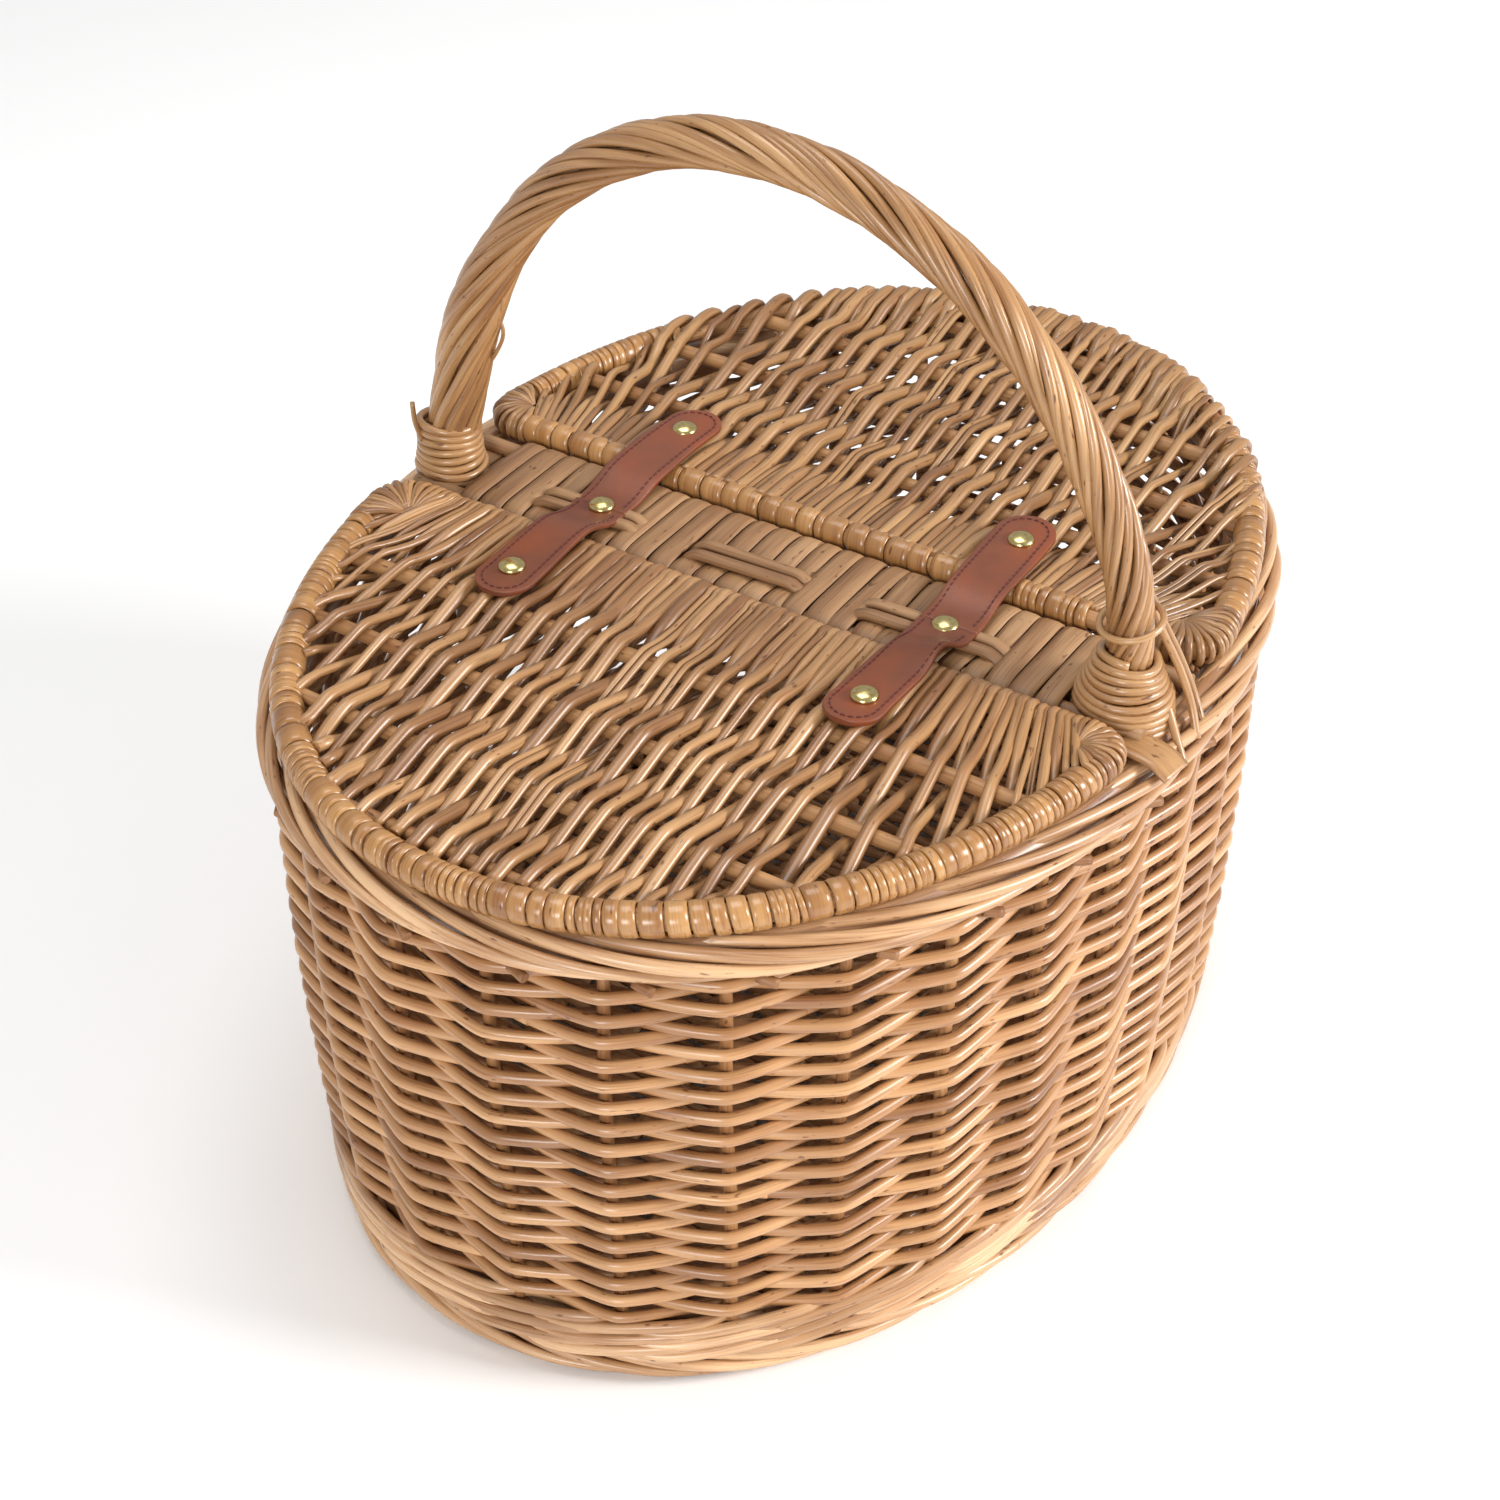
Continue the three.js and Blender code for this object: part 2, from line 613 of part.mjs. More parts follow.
for (const strap of straps) {
  const from = BAR_LEFT_EDGE - LID_TO_BAR / 2 + STRAP_SPLIT / 2;
  const to = BAR_RIGHT_EDGE + LID_TO_BAR / 2 - STRAP_SPLIT / 2;
  const middle = new THREE.BoxGeometry(to - from, STRAP_WIDTH, STRAP_THICKNESS);
  middle.translate((from + to) / 2, strap.y, BAR_TOP + GAP + STRAP_THICKNESS / 2);
  const hole = rivetHole(STRAP_MIDDLE, strap.y, barStrapTop);
  piece('strap_' + strap.name + '_bar', cut(middle, [hole]), LEATHER);
  piece('rivet_' + strap.name + '_bar', rivet(STRAP_MIDDLE, strap.y, barStrapTop), BRASS);
}

for (const lid of lids) {
  const rivetX = STRAP_MIDDLE + lid.side * RIVET_SPACING;
  piece(
    'lid_' + lid.name + '_frame',
    bentLoop(insetOutline(lid, LID_RADIUS), LID_RADIUS, LID_BOTTOM + LID_RADIUS),
    LID_WILLOW,
  );
  const panel = new THREE.ExtrudeGeometry(new THREE.Shape(insetOutline(lid, LID_ROD + GAP)), {
    depth: LID_ROD,
    bevelEnabled: false,
  }).translate(0, 0, LID_BOTTOM);
  const holes = straps.map((strap) => rivetHole(rivetX, strap.y, lidStrapTop));
  piece('lid_' + lid.name + '_weave', cut(panel, holes), LID_WILLOW);
  for (const strap of straps) {
    const end = strapEnd(lid, strap.y);
    const hole = rivetHole(rivetX, strap.y, lidStrapTop);
    piece('strap_' + strap.name + '_' + lid.name, cut(end, [hole]), LEATHER);
    piece('rivet_' + strap.name + '_' + lid.name, rivet(rivetX, strap.y, lidStrapTop), BRASS);
  }
}

export default basket;
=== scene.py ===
"""An oval willow hamper with two lids, a woven crossbar, a roped bow handle and leather hinge straps.

It is laid out as an add-on and run as a script. Everything is in metres: +X along the basket's length,
+Y along the crossbar, +Z up.
"""

import math

import bpy
import numpy as np
from mathutils import Matrix, Vector


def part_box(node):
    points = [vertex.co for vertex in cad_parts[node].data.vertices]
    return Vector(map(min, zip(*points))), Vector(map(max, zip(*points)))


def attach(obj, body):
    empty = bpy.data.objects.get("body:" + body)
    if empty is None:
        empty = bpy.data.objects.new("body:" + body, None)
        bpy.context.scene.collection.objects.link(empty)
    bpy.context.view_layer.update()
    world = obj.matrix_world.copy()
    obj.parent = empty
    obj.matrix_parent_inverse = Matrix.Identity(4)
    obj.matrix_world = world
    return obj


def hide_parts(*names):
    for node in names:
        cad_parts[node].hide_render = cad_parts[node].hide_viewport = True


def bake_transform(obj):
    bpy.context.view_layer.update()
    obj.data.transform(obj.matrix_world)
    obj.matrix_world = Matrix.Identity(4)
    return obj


bl_info = {
    "name": "Willow hamper",
    "version": (1, 0, 0),
    "blender": (4, 5, 0),
    "location": "3D View > Sidebar > Willow hamper",
    "description": "Weaves an oval two-lid willow hamper around its packed frame",
    "category": "Add Mesh",
}

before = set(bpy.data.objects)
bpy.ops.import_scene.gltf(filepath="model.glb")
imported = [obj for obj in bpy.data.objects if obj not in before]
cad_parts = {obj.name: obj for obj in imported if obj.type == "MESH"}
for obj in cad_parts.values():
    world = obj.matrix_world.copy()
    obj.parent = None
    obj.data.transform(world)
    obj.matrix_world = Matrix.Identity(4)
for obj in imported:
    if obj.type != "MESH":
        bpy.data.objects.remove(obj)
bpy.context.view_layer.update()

MM = 0.001
UP = np.array([0.0, 0.0, 1.0])
OVAL_POWER = 2.08  # squareness of the basket's plan; 2 is a plain ellipse

# ---------- places taken from the frame ----------


def middle_of(node, axis):
    """The middle of a node's box along an axis: 0 is X, 1 is Y and 2 is Z."""
    low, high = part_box(node)
    return (low[axis] + high[axis]) / 2


def plan_of(node):
    """Half the length and half the width of a node that stands round the middle of the basket."""
    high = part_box(node)[1]
    return high.x, high.y


WALL_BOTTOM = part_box("wall_weave")[0].z
WALL_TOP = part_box("wall_weave")[1].z
WALL_FLARE = 4.5 * MM
WALL_THICKNESS = 12 * MM
WALL_OVAL = tuple(half - WALL_FLARE for half in plan_of("wall_weave"))
WALE_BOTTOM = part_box("bottom_wale")[0].z
FOOT_OVAL = plan_of("foot_border")
FOOT_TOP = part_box("foot_border")[1].z
RIM_OVAL = plan_of("rim_border")
RIM_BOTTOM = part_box("rim_border")[0].z
RIM_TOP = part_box("rim_border")[1].z
BASE_OVAL = plan_of("base_panel")
BASE_MIDDLE = middle_of("base_panel", 2)
BAR_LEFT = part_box("crossbar_weave")[0].x
BAR_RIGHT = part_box("crossbar_weave")[1].x
BAR_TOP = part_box("crossbar_weave")[1].z
BAR_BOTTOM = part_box("crossbar_weave")[0].z
LID_OVAL = plan_of("lid_right_frame")
LID_MIDDLE = middle_of("lid_left_frame", 2)
LID_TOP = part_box("lid_left_frame")[1].z
LID_EDGE = {-1: -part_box("lid_left_frame")[1].x, 1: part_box("lid_right_frame")[0].x}
LID_BORDER = 6 * MM  # radius of a lid's frame rod with its binding
LID_CORNER = 16 * MM  # radius of a lid's two corners
LID_RIBS = 6  # places for ribs from the straight edge on; those past the curved edge stay empty
COLLAR = {name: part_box("handle_collar_" + name) for name in ("back", "front")}
ROPE_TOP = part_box("handle_rope")[1].z
STRAP_Y = {name: middle_of("strap_" + name + "_bar", 1) for name in ("back", "front")}
STRAP_END = {-1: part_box("strap_back_left")[0].x, 1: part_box("strap_back_right")[1].x}
RIVET_X = {name: middle_of("rivet_back_" + name, 0) for name in ("left", "bar", "right")}


def srgb(code):
    """A colour written as an sRGB hex value, as linear numbers."""
    parts = [int(code[i : i + 2], 16) / 255 for i in (1, 3, 5)]
    return tuple(p / 12.92 if p <= 0.04045 else ((p + 0.055) / 1.055) ** 2.4 for p in parts)


# ---------- sizes and colours that a user would change ----------


def length(name, description, default):
    return bpy.props.FloatProperty(
        name=name, description=description, default=default, min=0.0, subtype="DISTANCE", unit="LENGTH"
    )


def colour(name, description, code):
    return bpy.props.FloatVectorProperty(
        name=name, description=description, default=srgb(code), min=0.0, max=1.0, subtype="COLOR"
    )


class WallSizes(bpy.types.PropertyGroup):
    stakes: bpy.props.IntProperty(name="Stakes", description="Upright rods round the wall", default=30, min=6)
    first_stake: bpy.props.FloatProperty(
        name="First stake", description="Where the first stake stands, in spacings from +X", default=0.43
    )
    rows: bpy.props.IntProperty(name="Rows", description="Rounds of weaving in the wall", default=34, min=2)
    weaver: length("Weaver", "Radius of a weaver at its butt", 2.5 * MM)
    weaver_tip: length("Weaver tip", "Radius of a weaver at its tip", 2.2 * MM)
    stake: length("Stake", "Radius of a stake at its foot", 2.6 * MM)
    swing: length("Swing", "How far a weaver swings out and in round a stake", 4.6 * MM)
    bulge: length("Bulge", "How far the wall swells at half its height", 2.0 * MM)
    thickness: length("Thickness", "Thickness of the woven wall", WALL_THICKNESS)


class LidSizes(bpy.types.PropertyGroup):
    first_rib: length("First rib", "From a lid's straight edge to its first rib", 50 * MM)
    rib_spacing: length("Rib spacing", "Between two ribs of a lid", 39 * MM)
    rib: length("Rib", "Radius of a rib", 3.0 * MM)
    weaver: length("Weaver", "Radius of a thick weaver", 2.7 * MM)
    swing: length("Swing", "How far a weaver rises and falls over a rib", 5.0 * MM)
    frame_rod: length("Frame rod", "Radius of the bent rod inside the binding", 4.1 * MM)
    binding: length("Binding", "Half the thickness of the binding on the frame rod", 0.9 * MM)


class HandleSizes(bpy.types.PropertyGroup):
    strands: bpy.props.IntProperty(name="Strands", description="Rods roped round the bow", default=11, min=3)
    strand: length("Strand", "Radius of a strand at the top of the arch", 2.15 * MM)
    whipping: length("Whipping", "Radius of the thin rod wound into a collar", 1.55 * MM)


class StrapSizes(bpy.types.PropertyGroup):
    width: length("Width", "Width of a strap", 22 * MM)
    thickness: length("Thickness", "Thickness of the leather", 2.1 * MM)
    stitch_inset: length("Stitch inset", "Stitching in from the edge", 2.5 * MM)
    stitch: length("Stitch", "Length of one stitch", 2.4 * MM)
    rivet: length("Rivet", "Radius of a rivet's head", 5.0 * MM)


class HamperColours(bpy.types.PropertyGroup):
    wall: colour("Wall willow", "Middle colour of the wall's weavers", "#BA8C5E")
    border: colour("Border willow", "Middle colour of the foot and rim borders", "#CCA47A")
    stake: colour("Stake willow", "Middle colour of the stakes and ribs", "#B5885A")
    near_lid: colour("Left lid willow", "Middle colour of the left lid's weavers", "#A87E52")
    far_lid: colour("Right lid willow", "Middle colour of the right lid's weavers", "#A67E52")
    binding: colour("Binding willow", "Middle colour of the lids' bound edges", "#B0824E")
    bar: colour("Crossbar willow", "Middle colour of the crossbar's strips", "#A27C56")
    handle: colour("Handle willow", "Middle colour of the handle", "#B68C5E")
    leather: colour("Leather", "Colour of the straps", "#774028")
    thread: colour("Thread", "Colour of the stitching", "#5A1E1A")
    brass: colour("Brass", "Colour of the rivets", "#D8C68A")


GROUPS = {
    "hamper_wall": WallSizes,
    "hamper_lid": LidSizes,
    "hamper_handle": HandleSizes,
    "hamper_strap": StrapSizes,
    "hamper_colours": HamperColours,
}


# ---------- outlines ----------


def oval(half_length, half_width, angle):
    """Points of an oval; angle 0 is +X and a quarter turn is +Y."""
    along, across = np.cos(angle), np.sin(angle)
    bend = 2 / OVAL_POWER
    x = half_length * np.sign(along) * np.abs(along) ** bend
    y = half_width * np.sign(across) * np.abs(across) ** bend
    return x, y


def oval_facing(half_length, half_width, x, y):
    """Unit directions square to an oval at its points."""
    fx = np.sign(x) * np.abs(x) ** (OVAL_POWER - 1) / half_length**OVAL_POWER
    fy = np.sign(y) * np.abs(y) ** (OVAL_POWER - 1) / half_width**OVAL_POWER
    size = np.hypot(fx, fy)
    return fx / size, fy / size


def oval_half_width(half_length, half_width, x):
    """Half the width of an oval at places along its length."""
    share = np.clip(np.abs(x) / half_length, 0, 1)
    return half_width * (1 - share**OVAL_POWER) ** (1 / OVAL_POWER)


def stake_angle(place, sizes):
    """Angles of places round the wall counted in stakes, which stand at equal distances."""
    samples = np.linspace(0, 2 * np.pi, 2881)
    x, y = oval(*WALL_OVAL, samples)
    run = np.concatenate([[0], np.cumsum(np.hypot(np.diff(x), np.diff(y)))])
    share = (np.asarray(place, float) + sizes.first_stake) / sizes.stakes
    whole = np.floor(share)
    return np.interp((share - whole) * run[-1], run, samples) + whole * 2 * np.pi


def round_basket(ring, place, out, height, sizes):
    """Points round an oval ring at places counted in stakes, this far outside it, and their facing."""
    angle = stake_angle(place, sizes)
    x, y = oval(ring[0] + out, ring[1] + out, angle)
    fx, fy = oval_facing(ring[0], ring[1], x, y)
    points = np.stack([x, y, np.broadcast_to(height, x.shape)], -1)
    return points, np.stack([fx, fy, np.zeros_like(fx)], -1)


def wall_swell(height, sizes):
    """How far the wall stands outside its foot at a height."""
    share = np.clip((height - WALL_BOTTOM) / (WALL_TOP - WALL_BOTTOM), 0, 1)
    return WALL_FLARE * share + sizes.bulge * np.sin(np.pi * share)


def kinked(place):
    """A wave of height 1 that runs nearly straight between the stakes and bends sharply over each."""
    sharp = 0.985
    return np.arcsin(sharp * np.cos(np.pi * place)) / np.arcsin(sharp)


def steps_between(first, last):
    """Places from first to last, close together near the whole numbers, where a rod bends."""
    offsets = (0.0, 0.06, 0.13, 0.26, 0.42, 0.58, 0.74, 0.87, 0.94)
    inner = [whole + offset for whole in range(math.floor(first), math.ceil(last) + 1) for offset in offsets]
    return np.array([first] + [place for place in inner if first + 0.01 < place < last - 0.01] + [last])


def lid_outline(side, inset, spacing):
    """A lid's D outline, this far in from its edge, as evenly spaced points and their facing.

    It starts at the middle of the straight side and runs past the front corner and round the curve.
    """
    corner = LID_CORNER - inset
    inner = (LID_OVAL[0] - LID_CORNER, LID_OVAL[1] - LID_CORNER)
    cut = LID_EDGE[side] + LID_CORNER
    reach = np.arccos((cut / inner[0]) ** (OVAL_POWER / 2))
    angle = np.linspace(-reach, reach, 401)
    x, y = oval(*inner, angle)
    fx, fy = oval_facing(*inner, x, y)
    turn = np.arctan2(fy[-1], fx[-1])
    bend = np.linspace(turn, np.pi, 40)
    first = np.linspace(0, y[0], 120)
    x = np.concatenate([np.full(120, cut), np.full(40, cut), x, np.full(40, cut), np.full(120, cut)])
    y = np.concatenate([first, np.full(40, y[0]), y, np.full(40, y[-1]), -first[::-1]])
    fx = np.concatenate([np.full(120, -1.0), np.cos(bend[::-1]), fx, np.cos(bend), np.full(120, -1.0)])
    fy = np.concatenate([np.zeros(120), -np.sin(bend[::-1]), fy, np.sin(bend), np.zeros(120)])
    line = np.stack([x + corner * fx, y + corner * fy], -1)
    run = np.concatenate([[0], np.cumsum(np.hypot(*np.diff(line, axis=0).T))])
    count = max(8, int(round(run[-1] / spacing)))
    at = np.arange(count) / count * run[-1]
    keep = np.concatenate([[True], np.diff(run) > 1e-9])
    points = np.stack([np.interp(at, run[keep], line[keep, i]) for i in (0, 1)], -1)
    facing = np.stack([np.interp(at, run[keep], f[keep]) for f in (fx, fy)], -1)
    facing /= np.linalg.norm(facing, axis=1)[:, None]
    points[:, 0] *= side
    facing[:, 0] *= side
    flat = np.zeros((count, 1))
    corner_at = (run[120], run[160])
    return np.hstack([points, flat + LID_MIDDLE]), np.hstack([facing, flat]), at, run[-1], corner_at


# ---------- rods ----------


class Bundle:
    """Rods and strips gathered into one mesh, each with its own tone and its own grain."""

    def __init__(self, seed):
        self.random = np.random.default_rng(seed)
        self.points = []
        self.faces = []
        self.grain = []
        self.tone = []
        self.slots = []
        self.smooth = []
        self.count = 0

    def add(
        self, path, out, thick, wide=None, sides=8, closed=False, tone=None, square=1.0, slot=0, sheet=False
    ):
        """A rod along a path: `thick` is its radius towards `out`, and `wide` its radius across that.

        A sheet's grain lies where its points do, so that it runs on from one sheet to the next.
        """
        path = np.asarray(path, float)
        stations = len(path)
        thick = np.broadcast_to(np.asarray(thick, float), stations)
        wide = thick if wide is None else np.broadcast_to(np.asarray(wide, float), stations)
        if closed:
            ahead = np.roll(path, -1, 0) - np.roll(path, 1, 0)
        else:
            ahead = np.gradient(path, axis=0)
        ahead = ahead / np.linalg.norm(ahead, axis=1)[:, None]
        across = np.cross(ahead, np.broadcast_to(np.asarray(out, float), path.shape))
        across = across / np.linalg.norm(across, axis=1)[:, None]
        up = np.cross(across, ahead)
        turn = (np.arange(sides) + 0.5) / sides * 2 * np.pi
        c = np.sign(np.cos(turn)) * np.abs(np.cos(turn)) ** square
        s = np.sign(np.sin(turn)) * np.abs(np.sin(turn)) ** square
        rise = thick[:, None] * c[None, :]
        reach = wide[:, None] * s[None, :]
        ring = path[:, None] + up[:, None] * rise[..., None] + across[:, None] * reach[..., None]
        step = np.linalg.norm(np.diff(path, axis=0), axis=1)
        run = np.concatenate([[0], np.cumsum(step)]) + self.random.random() * 10
        grain = ring if sheet else np.stack([np.broadcast_to(run[:, None], rise.shape), rise, reach], -1)
        i = np.arange(stations if closed else stations - 1)[:, None]
        j = np.arange(sides)[None, :]
        after = (i + 1) % stations
        beside = (j + 1) % sides
        quads = np.stack([i * sides + j, i * sides + beside, after * sides + beside, after * sides + j], -1)
        faces = (quads.reshape(-1, 4) + self.count).tolist()
        if not closed:
            last = self.count + (stations - 1) * sides
            faces.append([self.count + k for k in reversed(range(sides))])
            faces.append([last + k for k in range(sides)])
        self.points.append(ring.reshape(-1, 3))
        self.grain.append(grain.reshape(-1, 3))
        own = self.random.random() if tone is None else tone
        self.tone.append(np.full(stations * sides, own))
        self.faces.extend(faces)
        self.slots.extend([slot] * len(faces))
        self.smooth.extend([len(face) == 4 for face in faces])
        self.count += stations * sides

    def build(self, name, body, materials, replaced=()):
        """Makes the mesh, hangs it from its body when the body is a name, and hides the solids that it stands
        for.
        """
        mesh = bpy.data.meshes.new(name)
        mesh.from_pydata(np.concatenate(self.points).tolist(), [], self.faces)
        for material in materials:
            mesh.materials.append(material)
        mesh.polygons.foreach_set("use_smooth", np.array(self.smooth))
        mesh.polygons.foreach_set("material_index", np.array(self.slots, np.int32))
        grain = mesh.attributes.new("grain", "FLOAT_VECTOR", "POINT")
        grain.data.foreach_set("vector", np.concatenate(self.grain).astype(np.float32).ravel())
        tone = mesh.attributes.new("tone", "FLOAT", "POINT")
        tone.data.foreach_set("value", np.concatenate(self.tone).astype(np.float32))
        mesh.update()
        made = bpy.data.objects.new(name, mesh)
        bpy.context.scene.collection.objects.link(made)
        if isinstance(body, str):
            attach(made, body)
        else:
            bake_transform(made)
        if replaced:
            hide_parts(*replaced)
        return made


# ---------- materials ----------


def add_node(tree, kind, inputs=None, **settings):
    """Adds a node, sets its settings, and fills or links its inputs."""
    made = tree.nodes.new(kind)
    for name, value in settings.items():
        setattr(made, name, value)
    for name, value in (inputs or {}).items():
        if isinstance(value, bpy.types.NodeSocket):
            tree.links.new(value, made.inputs[name])
        else:
            made.inputs[name].default_value = value
    return made


def set_stops(ramp, stops):
    """Gives a colour ramp these stops of (place, linear colour)."""
    while len(ramp.elements) > 1:
        ramp.elements.remove(ramp.elements[-1])
    ramp.elements[0].position = stops[0][0]
    ramp.elements[0].color = (*stops[0][1], 1)
    for place, value in stops[1:]:
        ramp.elements.new(place).color = (*value, 1)


def shaded(base, factors):
    return tuple(min(1.0, part * factor) for part, factor in zip(base, factors))


def new_material(name):
    material = bpy.data.materials.new(name)
    material.use_nodes = True
    material.node_tree.nodes.clear()
    return material, material.node_tree


def varnished_willow(name, base, gloss=0.36, contrast=0.85, coat=0.45):
    """Buff willow: boiled and peeled rods under a thin varnish.

    Each rod has its own tone. Fibres run along it, and it has darker blotches and small bud scars.
    """
    material, tree = new_material(name)
    grain = add_node(tree, "ShaderNodeAttribute", attribute_name="grain")
    tone = add_node(tree, "ShaderNodeAttribute", attribute_name="tone")
    # Fibres are about 25 mm long and 0.7 mm wide, blotches 55 by 6 mm, and bud scars 5 by 1.6 mm.
    marks = {}
    for mark, scale, detail in (
        ("fibre", (40, 1400, 1400), 3.0),
        ("blotch", (18, 160, 160), 2.0),
        ("scar", (190, 620, 620), 1.0),
    ):
        place = add_node(tree, "ShaderNodeMapping", {"Vector": grain.outputs["Vector"], "Scale": scale})
        marks[mark] = add_node(
            tree, "ShaderNodeTexNoise", {"Vector": place.outputs[0], "Scale": 1.0, "Detail": detail}
        )
    tones = add_node(tree, "ShaderNodeValToRGB", {"Fac": tone.outputs["Fac"]})
    set_stops(
        tones.color_ramp,
        [
            (0.0, shaded(base, (1 - 0.38 * contrast, 1 - 0.48 * contrast, 1 - 0.56 * contrast))),
            (0.3, shaded(base, (1 - 0.12 * contrast, 1 - 0.18 * contrast, 1 - 0.24 * contrast))),
            (0.65, shaded(base, (1 + 0.10 * contrast, 1 + 0.10 * contrast, 1 + 0.08 * contrast))),
            (1.0, shaded(base, (1 + 0.34 * contrast, 1 + 0.42 * contrast, 1 + 0.52 * contrast))),
        ],
    )
    surface = tones.outputs[0]
    for mark, strength, stops in (
        ("blotch", 0.75, [(0.3, (0.60, 0.46, 0.36)), (0.55, (1.0, 1.0, 1.0))]),
        ("fibre", 0.7, [(0.28, (0.50, 0.38, 0.30)), (0.5, (0.94, 0.93, 0.92)), (0.72, (1.0, 1.0, 1.0))]),
        ("scar", 0.8, [(0.70, (1.0, 1.0, 1.0)), (0.76, (0.30, 0.17, 0.10))]),
    ):
        tint = add_node(tree, "ShaderNodeValToRGB", {"Fac": marks[mark].outputs["Fac"]})
        set_stops(tint.color_ramp, stops)
        darker = add_node(
            tree,
            "ShaderNodeMix",
            {0: strength, 6: surface, 7: tint.outputs[0]},
            data_type="RGBA",
            blend_type="MULTIPLY",
        )
        surface = darker.outputs[2]
    rough = add_node(
        tree,
        "ShaderNodeMapRange",
        {"Value": marks["fibre"].outputs["Fac"], "To Min": gloss - 0.08, "To Max": gloss + 0.14},
    )
    bump = add_node(
        tree,
        "ShaderNodeBump",
        {"Height": marks["fibre"].outputs["Fac"], "Strength": 0.35, "Distance": 0.25 * MM},
    )
    shader = add_node(
        tree,
        "ShaderNodeBsdfPrincipled",
        {
            "Base Color": surface,
            "Roughness": rough.outputs[0],
            "Normal": bump.outputs[0],
            "IOR": 1.5,
            "Coat Weight": coat,
            "Coat Roughness": 0.24,
        },
    )
    add_node(tree, "ShaderNodeOutputMaterial", {"Surface": shader.outputs[0]})
    return material


def tan_leather(name, base):
    """Smooth vegetable-tanned cowhide: a satin finish with fine grain, rubbed redder in patches."""
    material, tree = new_material(name)
    grain = add_node(tree, "ShaderNodeAttribute", attribute_name="grain")
    # Pores about 0.5 mm across, and rubbed patches about 24 mm across.
    pore = add_node(
        tree, "ShaderNodeTexVoronoi", {"Vector": grain.outputs["Vector"], "Scale": 1900.0}, feature="F1"
    )
    cloud = add_node(
        tree, "ShaderNodeTexNoise", {"Vector": grain.outputs["Vector"], "Scale": 42.0, "Detail": 4.0}
    )
    rubbed = add_node(tree, "ShaderNodeValToRGB", {"Fac": cloud.outputs["Fac"]})
    set_stops(
        rubbed.color_ramp,
        [
            (0.30, shaded(base, (0.78, 0.72, 0.72))),
            (0.5, base),
            (0.66, shaded(base, (1.22, 1.05, 0.85))),
        ],
    )
    rough = add_node(
        tree, "ShaderNodeMapRange", {"Value": cloud.outputs["Fac"], "To Min": 0.52, "To Max": 0.34}
    )
    bump = add_node(
        tree, "ShaderNodeBump", {"Height": pore.outputs["Distance"], "Strength": 0.25, "Distance": 0.2 * MM}
    )
    shader = add_node(
        tree,
        "ShaderNodeBsdfPrincipled",
        {
            "Base Color": rubbed.outputs[0],
            "Roughness": rough.outputs[0],
            "Normal": bump.outputs[0],
            "IOR": 1.48,
        },
    )
    add_node(tree, "ShaderNodeOutputMaterial", {"Surface": shader.outputs[0]})
    return material


def waxed_thread(name, base):
    """Waxed linen thread: dark and fairly matt, with painted shade in the grooves of its twist as fine
    slanting dark bands.
    """
    material, tree = new_material(name)
    grain = add_node(tree, "ShaderNodeAttribute", attribute_name="grain")
    # A twist every 0.6 mm; the darker part of each band is painted shade in the groove of the twist.
    twist_groove_shade = add_node(
        tree, "ShaderNodeTexWave", {"Vector": grain.outputs["Vector"], "Scale": 520.0, "Distortion": 0.5}
    )
    # The dark stop of this ramp is painted shade in the grooves of the twist.
    tint = add_node(tree, "ShaderNodeValToRGB", {"Fac": twist_groove_shade.outputs["Fac"]})
    set_stops(tint.color_ramp, [(0.2, shaded(base, (0.6, 0.6, 0.6))), (0.8, base)])
    shader = add_node(
        tree, "ShaderNodeBsdfPrincipled", {"Base Color": tint.outputs[0], "Roughness": 0.7, "IOR": 1.5}
    )
    add_node(tree, "ShaderNodeOutputMaterial", {"Surface": shader.outputs[0]})
    return material


def polished_brass(name, base):
    """Pressed brass caps, polished and lightly lacquered: bright yellow with faint rubbed patches."""
    material, tree = new_material(name)
    grain = add_node(tree, "ShaderNodeAttribute", attribute_name="grain")
    # Rubbed patches about 1.4 mm across.
    rub = add_node(
        tree, "ShaderNodeTexNoise", {"Vector": grain.outputs["Vector"], "Scale": 700.0, "Detail": 3.0}
    )
    rough = add_node(
        tree, "ShaderNodeMapRange", {"Value": rub.outputs["Fac"], "To Min": 0.2, "To Max": 0.27}
    )
    tint = add_node(tree, "ShaderNodeValToRGB", {"Fac": rub.outputs["Fac"]})
    set_stops(tint.color_ramp, [(0.3, shaded(base, (0.82, 0.78, 0.7))), (0.6, base)])
    shader = add_node(
        tree,
        "ShaderNodeBsdfPrincipled",
        {"Base Color": tint.outputs[0], "Roughness": rough.outputs[0], "Metallic": 1.0},
    )
    add_node(tree, "ShaderNodeOutputMaterial", {"Surface": shader.outputs[0]})
    return material


def finish(name):
    """The material of this name, made the first time that it is asked for."""
    if name in bpy.data.materials:
        return bpy.data.materials[name]
    colours = bpy.context.scene.hamper_colours
    willows = {
        "varnished_wall_willow": (colours.wall, {}),
        "varnished_border_willow": (colours.border, {}),
        "dull_stake_willow": (colours.stake, {"gloss": 0.5, "coat": 0.05}),
        "varnished_left_lid_willow": (colours.near_lid, {}),
        "varnished_right_lid_willow": (colours.far_lid, {}),
        "glossy_binding_willow": (colours.binding, {"gloss": 0.3, "contrast": 0.5, "coat": 0.5}),
        "shaved_bar_willow": (colours.bar, {"gloss": 0.5, "contrast": 0.5, "coat": 0.05}),
        "varnished_handle_willow": (colours.handle, {"gloss": 0.34, "contrast": 0.6, "coat": 0.55}),
    }
    if name in willows:
        base, surface = willows[name]
        return varnished_willow(name, tuple(base), **surface)
    makers = {
        "tan_leather": (tan_leather, colours.leather),
        "waxed_thread": (waxed_thread, colours.thread),
        "polished_brass": (polished_brass, colours.brass),
    }
    maker, base = makers[name]
    return maker(name, tuple(base))


# ---------- body ----------


